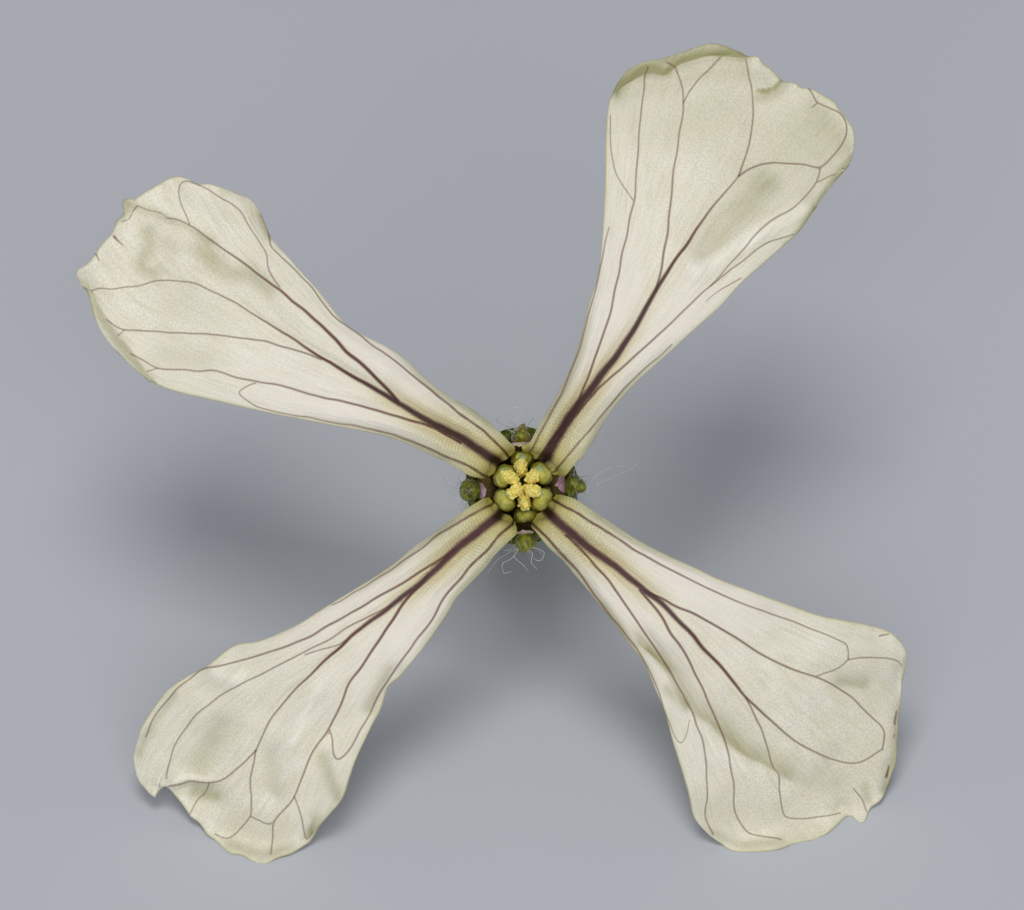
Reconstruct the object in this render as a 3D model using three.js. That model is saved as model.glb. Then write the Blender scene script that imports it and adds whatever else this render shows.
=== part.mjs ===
// Arugula flower, cut with a short stalk and laid down on a surface.
// Four clawed petals in a cross, four hooded sepals, six stamens (two short, four long) and a pistil.
//
// Flower frame, in millimetres: x to the right and y up as one looks into the open face, z along the
// flower's axis towards the viewer, with z = 0 where the petals leave the throat. The whole flower is
// then tipped back and stands on the tips of its two lower petals and on the cut end of its stalk.

import * as THREE from 'three';
import { ParametricGeometry } from 'three/addons/geometries/ParametricGeometry.js';
import { mergeGeometries } from 'three/addons/utils/BufferGeometryUtils.js';

const degrees = THREE.MathUtils.degToRad;
const { lerp, smoothstep, clamp } = THREE.MathUtils;

// How the flower lies: its face is tipped by this angle from the surface, with the throat this high.
const FACE_TILT = degrees(45);
const THROAT_HEIGHT = 8.25;

// Levels along the axis, from the stalk's cut end up to the throat.
const STALK_END = -11.35;
const STALK_TOP = -9.9;
const RECEPTACLE_TOP = -8.75;
const PIECE_GAP = 0.08;
const WHORL_BASE = RECEPTACLE_TOP + PIECE_GAP;

const STALK_RADIUS = 0.45;
const RECEPTACLE_RADIUS = 1.62;

// The petal's claw stands in the tube, bends over at the throat and widens into the limb.
const CLAW_BASE_RADIUS = 0.84;
const CLAW_MIDDLE_RADIUS = 1.0;
const THROAT_RADIUS = 1.2;
const CLAW_BASE_HALF_WIDTH = 0.42;
const THROAT_HALF_WIDTH = 0.55;
const BEND_RADIUS = 1.6;
const CLAW_THICKNESS = 0.42;
const LIMB_THICKNESS = 0.6;

// Grid of a petal: columns across it, and rows along the claw, round the bend and along the limb.
const PETAL_COLUMNS = 14;
const CLAW_ROWS = 6;
const BEND_ROWS = 5;
const LIMB_ROWS = 14;
const THICKENING_ROWS = 6;
const FOLDS_START = 0.25;

const SEPAL_THICKNESS = 0.6;
const SEPAL_TIP_THICKNESS = 0.4;
const SEPAL_TIP_SHARE = 0.07;
const SEPAL_COLUMNS = 6;
const SEPAL_ROWS = 13;
const POUCH_LEVEL = -7.6;
const POUCH_SPREAD = 0.8;

const ANTHER_LENGTH = 2.2;
const ANTHER_RADIUS = 0.23;
const ANTHER_GROOVE = 0.3;
const ANTHER_BLUNTNESS = 0.8;
const ANTHER_SIDES = 12;
const ANTHER_RINGS = 8;
const LONG_ANTHER_TOP = 0.9;
const SHORT_ANTHER_TOP = -0.1;
const FILAMENT_RADIUS = 0.11;
const FILAMENT_SIDES = 8;
const FILAMENT_STEPS = 5;
const FILAMENT_BEND_LEVEL = -5.2;
const FILAMENT_BEND_SHARE = 0.35;
const LONG_FILAMENT_BASE = 0.44;
const SHORT_FILAMENT_BASE = 0.56;

// Each petal as it is seen from the front. left and right run from the throat to the tip's corners and
// tip runs from left to right. rise and droop shape the limb along its length, and each fold is a soft
// ridge (height above 0) or valley (below 0) along a line.
const PETALS = {
  upper_right: {
    left: [[0.55, 1.95], [1.05, 2.85], [1.45, 3.8], [1.8, 5.05], [2.15, 6.25], [2.3, 8.25], [2.35, 10.25],
      [2.55, 11.05], [3.05, 11.65]],
    tip: [[3.05, 11.65], [3.6, 11.85], [4.4, 12.05], [5.2, 12.25], [5.9, 12.2], [6.5, 11.95], [6.9, 11.6],
      [7.3, 11.3], [7.85, 11.15], [8.35, 10.9], [8.75, 10.55], [9.05, 10.15], [9.2, 9.6], [9.15, 9.2],
      [8.75, 8.85], [8.3, 8.55]],
    right: [[1.85, 1.05], [2.35, 1.8], [3.05, 2.75], [4, 3.7], [5, 4.65], [6, 5.65], [6.8, 6.35],
      [7.5, 7.2], [8.1, 7.85], [8.3, 8.55]],
    rise: 0.5,
    droop: 0.9,
    folds: [
      { from: [3.1, 11.4], to: [6.4, 11.9], width: 0.55, height: 0.5 },
      { from: [3.6, 4.4], to: [6.8, 7.4], width: 0.7, height: -0.35 },
      { from: [8.6, 9.1], to: [7.2, 6.9], width: 0.5, height: 0.3 },
    ],
  },
  upper_left: {
    left: [[-1.85, 0.65], [-2.7, 1], [-3.8, 1.4], [-5.35, 1.75], [-7, 2.05], [-8.55, 2.4], [-9.8, 2.7],
      [-10.55, 3.1], [-11.2, 3.7]],
    tip: [[-11.2, 3.7], [-11.65, 4.3], [-11.95, 4.95], [-12.1, 5.45], [-12.35, 5.85], [-12.15, 6.2],
      [-11.8, 6.55], [-11.35, 6.95], [-11.15, 7.45], [-11, 7.95], [-10.6, 8.1], [-10.1, 8.4],
      [-9.45, 8.6], [-8.85, 8.4], [-8.15, 8.25], [-7.55, 7.95], [-7.2, 7.55]],
    right: [[-1.2, 2], [-2.35, 2.8], [-3.35, 3.6], [-4.2, 4.1], [-4.9, 4.55], [-5.65, 5.45],
      [-6.35, 6.2], [-6.95, 6.9], [-7.2, 7.55]],
    rise: 0.45,
    droop: 0.7,
    folds: [
      { from: [-6.4, 5.4], to: [-9.6, 7.6], width: 0.6, height: -0.35 },
      { from: [-11.3, 3.9], to: [-12, 5.4], width: 0.5, height: 0.4 },
      { from: [-7.4, 7.7], to: [-8.9, 8.3], width: 0.5, height: 0.3 },
      { from: [-9.4, 5.2], to: [-10.2, 6.6], width: 0.6, height: 0.25 },
      { from: [-4, 3.2], to: [-7, 5.6], width: 0.6, height: 0.3 },
    ],
  },
  lower_left: {
    left: [[-0.95, -2.05], [-1.55, -2.8], [-2.2, -3.7], [-2.8, -4.6], [-3.4, -5.25], [-3.85, -5.85],
      [-4.15, -6.65], [-4.6, -7.5], [-4.9, -8.45], [-5.4, -9.1], [-5.95, -9.85]],
    tip: [[-5.95, -9.85], [-6.5, -10.2], [-7.15, -10.4], [-7.7, -10.2], [-8.35, -9.95], [-8.95, -9.4],
      [-9.45, -8.8], [-9.9, -8.45], [-10.2, -8.55], [-10.6, -8.2], [-10.8, -7.7], [-10.7, -7.25]],
    right: [[-1.8, -0.8], [-2.75, -1.5], [-3.95, -2.35], [-5.25, -3.2], [-6.25, -3.85], [-7.1, -4.15],
      [-7.95, -4.35], [-8.75, -4.9], [-9.5, -5.35], [-10.15, -5.95], [-10.55, -6.65], [-10.7, -7.25]],
    rise: 0.5,
    droop: 1.75,
    folds: [
      { from: [-9.9, -8.3], to: [-8.6, -7.9], width: 0.5, height: -0.25 },
      { from: [-4.4, -6.4], to: [-6, -7], width: 0.6, height: -0.3 },
      { from: [-5.6, -4], to: [-8.6, -6.2], width: 0.7, height: 0.3 },
    ],
  },
  lower_right: {
    left: [[1.9, -0.7], [2.85, -1.3], [3.95, -1.9], [5.1, -2.45], [6.35, -2.95], [7.7, -3.35],
      [9.05, -3.7], [9.8, -3.9], [10.35, -4.2], [10.65, -4.9]],
    tip: [[10.65, -4.9], [10.5, -5.55], [10.4, -6.25], [10.4, -6.9], [10.35, -7.5], [10.2, -8.2],
      [9.75, -8.85], [9.45, -9.3], [9.1, -9.1], [8.6, -9.5], [8.05, -9.8], [7.3, -10], [6.6, -10.1],
      [5.8, -10.05], [5.2, -9.7]],
    right: [[0.9, -1.8], [1.7, -2.65], [2.4, -3.65], [3.2, -4.65], [3.7, -5.7], [4.1, -6.75],
      [4.4, -7.75], [4.6, -8.55], [4.8, -9.25], [5.2, -9.7]],
    rise: 0.45,
    droop: 1.85,
    folds: [
      { from: [3.2, -4.2], to: [6.6, -7.9], width: 0.6, height: -0.45 },
      { from: [4.4, -4], to: [8, -7.2], width: 0.7, height: 0.3 },
      { from: [10.3, -6.4], to: [9.9, -8.2], width: 0.5, height: 0.3 },
      { from: [8.4, -4.6], to: [10, -5.6], width: 0.6, height: -0.25 },
    ],
  },
};

// Sepals stand between the claws. Those over and under the face are pouched at the base.
const SEPALS = {
  top: { angle: 92, pouch: 0.22 },
  left: { angle: 182.5, pouch: 0 },
  bottom: { angle: 272, pouch: 0.22 },
  right: { angle: 3, pouch: 0 },
};

// Stages of a sepal from its foot to its hooded tip: distance from the axis, half width and level.
const SEPAL_STAGES = [
  [1.46, 0.72, WHORL_BASE], [1.66, 0.95, -7.7], [1.68, 1, -6.2], [1.7, 1, -4.6], [1.78, 0.84, -3.2],
  [1.8, 0.56, -2.3], [1.58, 0.37, -1.6], [1.49, 0.34, -1.1], [1.46, 0.22, -0.7],
];

// Stamens: where each anther stands, seen from the front.
const STAMENS = {
  top: { at: [0, 0.75], long: false },
  bottom: { at: [0.08, -0.72], long: false },
  upper_left: { at: [-0.43, 0.32], long: true },
  upper_right: { at: [0.5, 0.42], long: true },
  lower_left: { at: [-0.45, -0.3], long: true },
  lower_right: { at: [0.53, -0.28], long: true },
};

const COLOURS = {
  petal: { color: 0xddd8bd, roughness: 0.6 },
  sepal: { color: 0x6b7d1c, roughness: 0.45 },
  stalk: { color: 0x7f8f3a, roughness: 0.5 },
  filament: { color: 0xc9cf8f, roughness: 0.5 },
  anther: { color: 0xd8bf4a, roughness: 0.8 },
  pistil: { color: 0x8a9a3c, roughness: 0.5 },
};

const planePoint = ([x, y]) => new THREE.Vector2(x, y);

// A point under the surface that the flower lies on is pressed up onto it.
function pressed(point) {
  const height = THROAT_HEIGHT + point.y * Math.sin(FACE_TILT) + point.z * Math.cos(FACE_TILT);
  if (height < 0) {
    point.y -= height * Math.sin(FACE_TILT);
    point.z -= height * Math.cos(FACE_TILT);
  }
  return point;
}

// A closed thin solid round middle(u, v), with the same diagonals on both of its faces.
function bladeGeometry(middle, thicknessAt, columns, rows) {
  const step = 1e-3;
  const face = (u, v, side) => {
    const across = middle(Math.min(u + step, 1), v).sub(middle(Math.max(u - step, 0), v));
    const along = middle(u, Math.min(v + step, 1)).sub(middle(u, Math.max(v - step, 0)));
    const normal = across.cross(along).normalize();
    return pressed(middle(u, v).addScaledVector(normal, (side * thicknessAt(u, v)) / 2));
  };
  const sheet = (side) => new ParametricGeometry((u, v, out) => out.copy(face(u, v, side)), columns, rows);
  const front = sheet(1);
  const back = sheet(-1);
  const index = back.index.array;
  for (let i = 0; i < index.length; i += 3) [index[i + 1], index[i + 2]] = [index[i + 2], index[i + 1]];

  // The rim joins the faces all the way round: up one side, over the tip, down the other and home.
  const around = 2 * (columns + rows);
  const rim = new ParametricGeometry((u, v, out) => {
    const walked = Math.round(u * around) % around;
    const side = v > 0.5 ? 1 : -1;
    if (walked <= columns) out.copy(face(walked / columns, 0, side));
    else if (walked <= columns + rows) out.copy(face(1, (walked - columns) / rows, side));
    else if (walked <= 2 * columns + rows) out.copy(face(1 - (walked - columns - rows) / columns, 1, side));
    else out.copy(face(0, 1 - (walked - 2 * columns - rows) / rows, side));
  }, around, 1);
  return mergeGeometries([front, back, rim]);
}

// How far a fold lifts the limb at a point of the plan.
function foldLift({ from, to, width, height }, point) {
  const start = planePoint(from);
  const run = planePoint(to).sub(start);
  const share = clamp(point.clone().sub(start).dot(run) / run.lengthSq(), 0, 1);
  const away = point.distanceTo(start.addScaledVector(run, share));
  return height * Math.exp(-((away / width) ** 2));
}

function petalGeometry({ left, tip, right, rise, droop, folds }) {
  const [footLeft, footRight] = [planePoint(left[0]), planePoint(right[0])];
  const outward = footLeft.clone().add(footRight).normalize();
  const angle = outward.angle();

  const onCircle = (radius, share, half) => {
    const turn = angle + ((1 - 2 * share) * half) / radius;
    return new THREE.Vector2(radius * Math.cos(turn), radius * Math.sin(turn));
  };
  const throat = (u) => onCircle(THROAT_RADIUS, u, THROAT_HALF_WIDTH);
  const leftEdge = new THREE.SplineCurve([throat(0), ...left.map(planePoint)]);
  const rightEdge = new THREE.SplineCurve([throat(1), ...right.map(planePoint)]);
  const tipEdge = new THREE.SplineCurve(tip.map(planePoint));
  const reach = (leftEdge.getLength() + rightEdge.getLength()) / 2;

  // The limb's plan fills the space between its four edges.
  const plan = (u, v) => {
    const point = leftEdge.getPointAt(v).multiplyScalar(1 - u);
    point.addScaledVector(rightEdge.getPointAt(v), u);
    point.addScaledVector(throat(u), 1 - v).addScaledVector(tipEdge.getPointAt(u), v);
    point.addScaledVector(throat(0), -(1 - u) * (1 - v)).addScaledVector(throat(1), -u * (1 - v));
    point.addScaledVector(tipEdge.getPoint(0), -(1 - u) * v).addScaledVector(tipEdge.getPoint(1), -u * v);
    return point;
  };

  const rows = CLAW_ROWS + BEND_ROWS + LIMB_ROWS;
  const middle = (u, v) => {
    const row = v * rows;
    if (row <= CLAW_ROWS) {
      const share = row / CLAW_ROWS;
      const half = lerp(CLAW_BASE_HALF_WIDTH, THROAT_HALF_WIDTH, share);
      const radius = share < 0.5
        ? lerp(CLAW_BASE_RADIUS, CLAW_MIDDLE_RADIUS, smoothstep(share, 0, 0.5))
        : lerp(CLAW_MIDDLE_RADIUS, THROAT_RADIUS, smoothstep(share, 0.5, 1));
      const point = onCircle(radius, u, half);
      return new THREE.Vector3(point.x, point.y, lerp(WHORL_BASE, -BEND_RADIUS, share));
    }
    const turn = Math.min((row - CLAW_ROWS) / BEND_ROWS, 1) * (Math.PI / 2);
    const limbShare = Math.max(row - CLAW_ROWS - BEND_ROWS, 0) / LIMB_ROWS;
    const bent = (BEND_RADIUS * (1 - Math.cos(turn))) / reach;
    const point = plan(u, lerp(bent, 1, limbShare));
    const gone = Math.max(point.clone().sub(throat(u)).dot(outward), 0);
    const stillToGo = Math.max(BEND_RADIUS - gone, 0);
    const bend = Math.sqrt(BEND_RADIUS ** 2 - stillToGo ** 2) - BEND_RADIUS;
    const along = Math.max(gone - BEND_RADIUS, 0) / (reach - BEND_RADIUS);
    const folded = folds.reduce((sum, fold) => sum + foldLift(fold, point), 0);
    const lifted = folded * smoothstep(along, 0, FOLDS_START);
    const height = bend + rise * Math.sin(Math.PI * Math.min(along, 1)) - droop * along ** 2 + lifted;
    return new THREE.Vector3(point.x, point.y, height);
  };
  const thickness = (u, v) => {
    const share = smoothstep(v * rows, CLAW_ROWS, CLAW_ROWS + THICKENING_ROWS);
    return lerp(CLAW_THICKNESS, LIMB_THICKNESS, share);
  };
  return bladeGeometry(middle, thickness, PETAL_COLUMNS, rows);
}

function sepalGeometry({ angle, pouch }) {
  const stages = new THREE.CatmullRomCurve3(
    SEPAL_STAGES.map((stage) => new THREE.Vector3(...stage)), false, 'catmullrom',
  );
  const middle = (u, v) => {
    const { x: distance, y: half, z: level } = stages.getPoint(v);
    const radius = distance + pouch * Math.exp(-(((level - POUCH_LEVEL) / POUCH_SPREAD) ** 2));
    const turn = degrees(angle) + ((1 - 2 * u) * half) / radius;
    return new THREE.Vector3(radius * Math.cos(turn), radius * Math.sin(turn), level);
  };
  const thickness = (u, v) => {
    return lerp(SEPAL_THICKNESS, SEPAL_TIP_THICKNESS, smoothstep(v, 1 - SEPAL_TIP_SHARE, 1));
  };
  return bladeGeometry(middle, thickness, SEPAL_COLUMNS, SEPAL_ROWS);
}

// An anther is two long lobes side by side, one on each side of a groove that faces the axis.
function antherGeometry() {
  const sphere = new THREE.SphereGeometry(1, ANTHER_SIDES, ANTHER_RINGS);
  const position = sphere.getAttribute('position');
  for (let i = 0; i < position.count; i += 1) {
    const ball = new THREE.Vector3().fromBufferAttribute(position, i);
    const round = Math.hypot(ball.x, ball.z) || 1;
    const groove = 1 - ANTHER_GROOVE * (ball.z / round) ** 4;
    const blunt = Math.sign(ball.y) * Math.abs(ball.y) ** ANTHER_BLUNTNESS;
    position.setXYZ(i, ball.x * ANTHER_RADIUS, ball.z * ANTHER_RADIUS * groove, blunt * (ANTHER_LENGTH / 2));
  }
  // Taking y for z turns the sphere's faces inwards, so each triangle is turned back.
  const index = sphere.index.array;
  for (let i = 0; i < index.length; i += 3) [index[i + 1], index[i + 2]] = [index[i + 2], index[i + 1]];
  return sphere;
}

function circleShape(radius, sides) {
  const corners = Array.from({ length: sides }, (_, i) => {
    const turn = (2 * Math.PI * i) / sides;
    return new THREE.Vector2(radius * Math.cos(turn), radius * Math.sin(turn));
  });
  return new THREE.Shape(corners);
}

function filamentGeometry([x, y], long) {
  const antherTop = long ? LONG_ANTHER_TOP : SHORT_ANTHER_TOP;
  const direction = new THREE.Vector2(x, y).normalize();
  const foot = direction.clone().multiplyScalar(long ? LONG_FILAMENT_BASE : SHORT_FILAMENT_BASE);
  const path = new THREE.CatmullRomCurve3([
    new THREE.Vector3(foot.x, foot.y, WHORL_BASE),
    new THREE.Vector3(
      lerp(foot.x, x, FILAMENT_BEND_SHARE), lerp(foot.y, y, FILAMENT_BEND_SHARE), FILAMENT_BEND_LEVEL,
    ),
    new THREE.Vector3(x, y, antherTop - ANTHER_LENGTH - PIECE_GAP),
  ]);
  return new THREE.ExtrudeGeometry(circleShape(FILAMENT_RADIUS, FILAMENT_SIDES), {
    extrudePath: path,
    steps: FILAMENT_STEPS,
    bevelEnabled: false,
  });
}

// Turns a profile of distance and level round the flower's axis.
function turned(profile, sides) {
  const lathe = new THREE.LatheGeometry(profile.map(planePoint), sides);
  return lathe.rotateX(Math.PI / 2);
}

function pistilGeometry() {
  return turned([
    [0, WHORL_BASE], [0.24, WHORL_BASE], [0.29, -7.8], [0.29, -4.6], [0.23, -3.6], [0.15, -3],
    [0.14, -1.3], [0.19, -0.95], [0.2, -0.7], [0.12, -0.58], [0, -0.56],
  ], 12);
}

function stalkGeometry() {
  const stalk = turned([
    [0, STALK_END], [STALK_RADIUS, STALK_END], [STALK_RADIUS, STALK_TOP], [0.75, -9.5], [1.25, -9.25],
    [RECEPTACLE_RADIUS, -9], [RECEPTACLE_RADIUS, RECEPTACLE_TOP], [0, RECEPTACLE_TOP],
  ], 20);
  const position = stalk.getAttribute('position');
  for (let i = 0; i < position.count; i += 1) {
    const point = pressed(new THREE.Vector3().fromBufferAttribute(position, i));
    position.setXYZ(i, point.x, point.y, point.z);
  }
  return stalk;
}

function piece(name, geometry, { color, roughness }) {
  const mesh = new THREE.Mesh(geometry, new THREE.MeshStandardMaterial({ color, roughness, metalness: 0 }));
  mesh.name = name;
  return mesh;
}

const flower = new THREE.Group();
flower.add(piece('pedicel_receptacle', stalkGeometry(), COLOURS.stalk));
flower.add(piece('pistil', pistilGeometry(), COLOURS.pistil));

for (const [name, sepal] of Object.entries(SEPALS)) {
  flower.add(piece(`sepal_${name}`, sepalGeometry(sepal), COLOURS.sepal));
}
for (const [name, petal] of Object.entries(PETALS)) {
  flower.add(piece(`petal_${name}`, petalGeometry(petal), COLOURS.petal));
}
for (const [name, { at, long }] of Object.entries(STAMENS)) {
  flower.add(piece(`filament_${name}`, filamentGeometry(at, long), COLOURS.filament));
  const anther = piece(`anther_${name}`, antherGeometry(), COLOURS.anther);
  const top = long ? LONG_ANTHER_TOP : SHORT_ANTHER_TOP;
  anther.position.set(at[0], at[1], top - ANTHER_LENGTH / 2);
  anther.rotation.z = Math.atan2(at[1], at[0]) - Math.PI / 2;
  flower.add(anther);
}

// The flower tips back onto its three low points, with the middle of its box over the origin.
flower.rotation.x = FACE_TILT;
flower.position.z = THROAT_HEIGHT;
const laid = new THREE.Group();
laid.add(flower);
const box = new THREE.Box3().setFromObject(laid, true);
laid.position.set(-(box.min.x + box.max.x) / 2, -(box.min.y + box.max.y) / 2, 0);

export default laid;
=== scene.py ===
"""Arugula flower: the fine pieces, finishes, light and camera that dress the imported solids.

Every piece is shaped in the flower's own frame, in millimetres: x to the right and y up as one looks
into the open face, z along the axis towards the viewer, with z = 0 where the petals leave the throat.
The whole flower then lies tipped back on the tips of its two lower petals and on its cut stalk.
"""

import logging
import math
from dataclasses import dataclass
from enum import Enum

import bmesh
import bpy
import numpy as np
from mathutils import Matrix, Vector


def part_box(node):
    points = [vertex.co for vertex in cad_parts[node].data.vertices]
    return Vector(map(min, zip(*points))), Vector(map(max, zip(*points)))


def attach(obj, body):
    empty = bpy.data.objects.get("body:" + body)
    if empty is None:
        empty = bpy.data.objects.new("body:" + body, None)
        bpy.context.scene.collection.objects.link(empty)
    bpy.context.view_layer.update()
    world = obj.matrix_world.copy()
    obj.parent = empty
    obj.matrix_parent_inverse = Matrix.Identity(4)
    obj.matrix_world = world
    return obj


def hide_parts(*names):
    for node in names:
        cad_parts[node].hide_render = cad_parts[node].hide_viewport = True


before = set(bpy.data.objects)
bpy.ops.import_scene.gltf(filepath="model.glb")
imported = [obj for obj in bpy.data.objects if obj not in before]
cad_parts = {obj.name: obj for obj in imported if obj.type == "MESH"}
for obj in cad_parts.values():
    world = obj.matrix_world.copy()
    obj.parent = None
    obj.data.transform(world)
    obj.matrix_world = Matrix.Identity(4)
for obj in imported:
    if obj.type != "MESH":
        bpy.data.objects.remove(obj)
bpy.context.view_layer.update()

MM = 0.001
# Where the photograph was taken from, in the flower's frame.
EYE = np.array([-0.278, 0.889, 220.0])
# Level at which petals, sepals and stamens grow from the receptacle.
WHORL_BASE = -8.67
# A distance that stands for "nowhere near", in millimetres.
FAR = 9.0
Points = list[tuple[float, float]]
Triple = tuple[float, float, float]
Colour = Triple


class Slot(Enum):
    """The material slots of the record."""

    PETAL = "petal"
    SEPAL = "sepal"
    STALK = "stalk"
    FILAMENT = "filament"
    ANTHER = "anther"
    PISTIL = "pistil"


class Rank(Enum):
    """The orders of a petal's veins, each kept in a mesh attribute of its own."""

    MAIN = "vein_main"
    SIDE = "vein_side"
    BRANCH = "vein_branch"


def paint(red: float, green: float, blue: float) -> Colour:
    """Return the linear colour of display values from 0 to 255.

    Args:
        red: Display value of red.
        green: Display value of green.
        blue: Display value of blue.

    Returns:
        The three linear values.
    """

    def linear(value: float) -> float:
        """Undo the display curve for one value."""
        share = value / 255
        return share / 12.92 if share <= 0.04045 else ((share + 0.055) / 1.055) ** 2.4

    return (linear(red), linear(green), linear(blue))


def ease(values: np.ndarray, low: float, high: float) -> np.ndarray:
    """Rise smoothly from 0 at low to 1 at high.

    Args:
        values: Where to evaluate.
        low: Start of the rise.
        high: End of the rise.

    Returns:
        The eased shares.
    """
    share = np.clip((values - low) / (high - low), 0, 1)
    return share * share * (3 - 2 * share)


def ripple(points: np.ndarray, size: float, seed: int, waves: int = 14) -> np.ndarray:
    """Sum a few seeded waves into a soft uneven relief of about -1 to 1.

    Args:
        points: Places, with two or three coordinates in the last axis.
        size: Rough distance between neighbouring bumps.
        seed: Seed of the random directions and phases.
        waves: Number of waves that are summed.

    Returns:
        The relief at each place.
    """
    random = np.random.default_rng(seed)
    total = np.zeros(points.shape[:-1])
    for _ in range(waves):
        direction = random.normal(size=points.shape[-1])
        direction /= np.linalg.norm(direction)
        length = size * random.uniform(0.7, 1.7)
        total += np.sin(points @ direction * (2 * math.pi / length) + random.uniform(0, 2 * math.pi))
    return total / math.sqrt(waves) / 1.4


def waver(points: np.ndarray, seed: int) -> np.ndarray:
    """Return small uneven shifts of -1 to 1 for points of the plan."""
    return np.stack([ripple(points, 0.8, seed + 5), ripple(points, 0.8, seed + 6)], axis=-1)


def bell(values: np.ndarray, width: float, power: float = 2) -> np.ndarray:
    """Fall off from 1 where the values are 0, to about a third at this width on each side."""
    return np.exp(-((values / width) ** power))


def stacked(*parts: np.ndarray) -> np.ndarray:
    """Join coordinates of any shapes that fit together into points."""
    return np.stack(np.broadcast_arrays(*parts), axis=-1)


def crowded(count: int, pull: float) -> np.ndarray:
    """Return shares from 0 to 1 that lie closer together at both ends.

    Args:
        count: Number of steps.
        pull: 0 for even steps, towards 1 for ever closer ones at the ends.

    Returns:
        The shares, one more than the steps.
    """
    share = np.linspace(0, 1, count + 1)
    return share - pull / (2 * math.pi) * np.sin(2 * math.pi * share)


class Course:
    """A smooth line through points, which can be walked at an even pace."""

    def __init__(self, points: Points | np.ndarray, mirrored: bool = False, steps: int = 24) -> None:
        """Work out the line.

        Args:
            points: Places that the line passes through.
            mirrored: Whether the ends run on straight, rather than level out.
            steps: Number of steps between two of the points.
        """
        stops = np.asarray(points, dtype=float)
        before = 2 * stops[0] - stops[1] if mirrored else stops[0]
        after = 2 * stops[-1] - stops[-2] if mirrored else stops[-1]
        padded = np.vstack([before, stops, after])
        share = np.linspace(0, 1, steps, endpoint=False)[:, None]
        parts = []
        for first, second, third, fourth in zip(padded, padded[1:], padded[2:], padded[3:]):
            leaving = (third - first) / 2
            arriving = (fourth - second) / 2
            cubic = (2 * second - 2 * third + leaving + arriving) * share**3
            square = (3 * third - 3 * second - 2 * leaving - arriving) * share**2
            parts.append(cubic + square + leaving * share + second)
        self.path = np.vstack([*parts, stops[-1:]])
        strides = np.linalg.norm(np.diff(self.path, axis=0), axis=1)
        self.walked = np.concatenate([[0], np.cumsum(strides)])

    @property
    def length(self) -> float:
        """Length of the line."""
        return float(self.walked[-1])

    def at(self, share: np.ndarray) -> np.ndarray:
        """Return the places at these shares of the length."""
        goal = np.asarray(share) * self.length
        return np.stack([np.interp(goal, self.walked, axis) for axis in self.path.T], axis=-1)

    def stage(self, share: np.ndarray) -> np.ndarray:
        """Return the places at these shares of the count of points."""
        place = np.asarray(share) * (len(self.path) - 1)
        ticks = np.arange(len(self.path))
        return np.stack([np.interp(place, ticks, axis) for axis in self.path.T], axis=-1)


def nearest(path: np.ndarray, sizes: np.ndarray, points: np.ndarray) -> tuple[np.ndarray, np.ndarray]:
    """Find the nearest place of a line to each point.

    Args:
        path: Corners of the line.
        sizes: A value at each corner.
        points: Points of the plane.

    Returns:
        The offsets from the line to the points, and the value where the line is nearest.
    """
    start = path[:-1]
    run = path[1:] - start
    best = np.full(len(points), np.inf)
    offset = np.zeros((len(points), 2))
    value = np.zeros(len(points))
    for index in range(len(start)):
        square = max(float(run[index] @ run[index]), 1e-12)
        share = np.clip(((points - start[index]) @ run[index]) / square, 0, 1)
        away = points - start[index] - share[:, None] * run[index]
        distance = np.einsum("ij,ij->i", away, away)
        closer = distance < best
        best[closer] = distance[closer]
        offset[closer] = away[closer]
        value[closer] = (sizes[index] + share * (sizes[index + 1] - sizes[index]))[closer]
    return offset, value


@dataclass(frozen=True)
class Lie:
    """How the flower lies: its face tipped back, with the throat at a height over the surface."""

    tilt: float = math.radians(45)
    throat_height: float = 8.25
    top_anther: Triple = (0.0, 0.75, -1.2)

    @property
    def turn(self) -> np.ndarray:
        """Rows that turn the flower's frame into the row's."""
        cosine, sine = math.cos(self.tilt), math.sin(self.tilt)
        return np.array([[1, 0, 0], [0, cosine, -sine], [0, sine, cosine]])

    @property
    def shift(self) -> np.ndarray:
        """Where the flower's origin stands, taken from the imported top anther."""
        low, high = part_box("anther_top")
        middle = (np.array(low) + np.array(high)) / 2 / MM
        place = middle - self.turn @ np.array(self.top_anther)
        return np.array([place[0], place[1], self.throat_height])

    def placed(self, points: np.ndarray) -> np.ndarray:
        """Lay points of the flower's frame down, none of them below the surface.

        Args:
            points: Places in the flower's frame, in millimetres.

        Returns:
            Places in the row's frame, in metres.
        """
        laid = points @ self.turn.T + self.shift
        laid[..., 2] = np.maximum(laid[..., 2], 0)
        return laid * MM

    def landed(self, points: np.ndarray, clearance: float, softness: float) -> np.ndarray:
        """Raise places along the flower's axis where they would sink, so that they level out softly.

        Args:
            points: Places in the flower's frame, in millimetres.
            clearance: Height over the surface at which they come to rest.
            softness: Height from which they start to level out.

        Returns:
            The raised places.
        """
        over = points @ self.turn[2] + self.shift[2] - clearance
        rest = (over + np.sqrt(over * over + softness * softness)) / 2
        raised = points.copy()
        raised[..., 2] += (rest - over) / math.cos(self.tilt)
        return raised


LIE = Lie()


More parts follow.
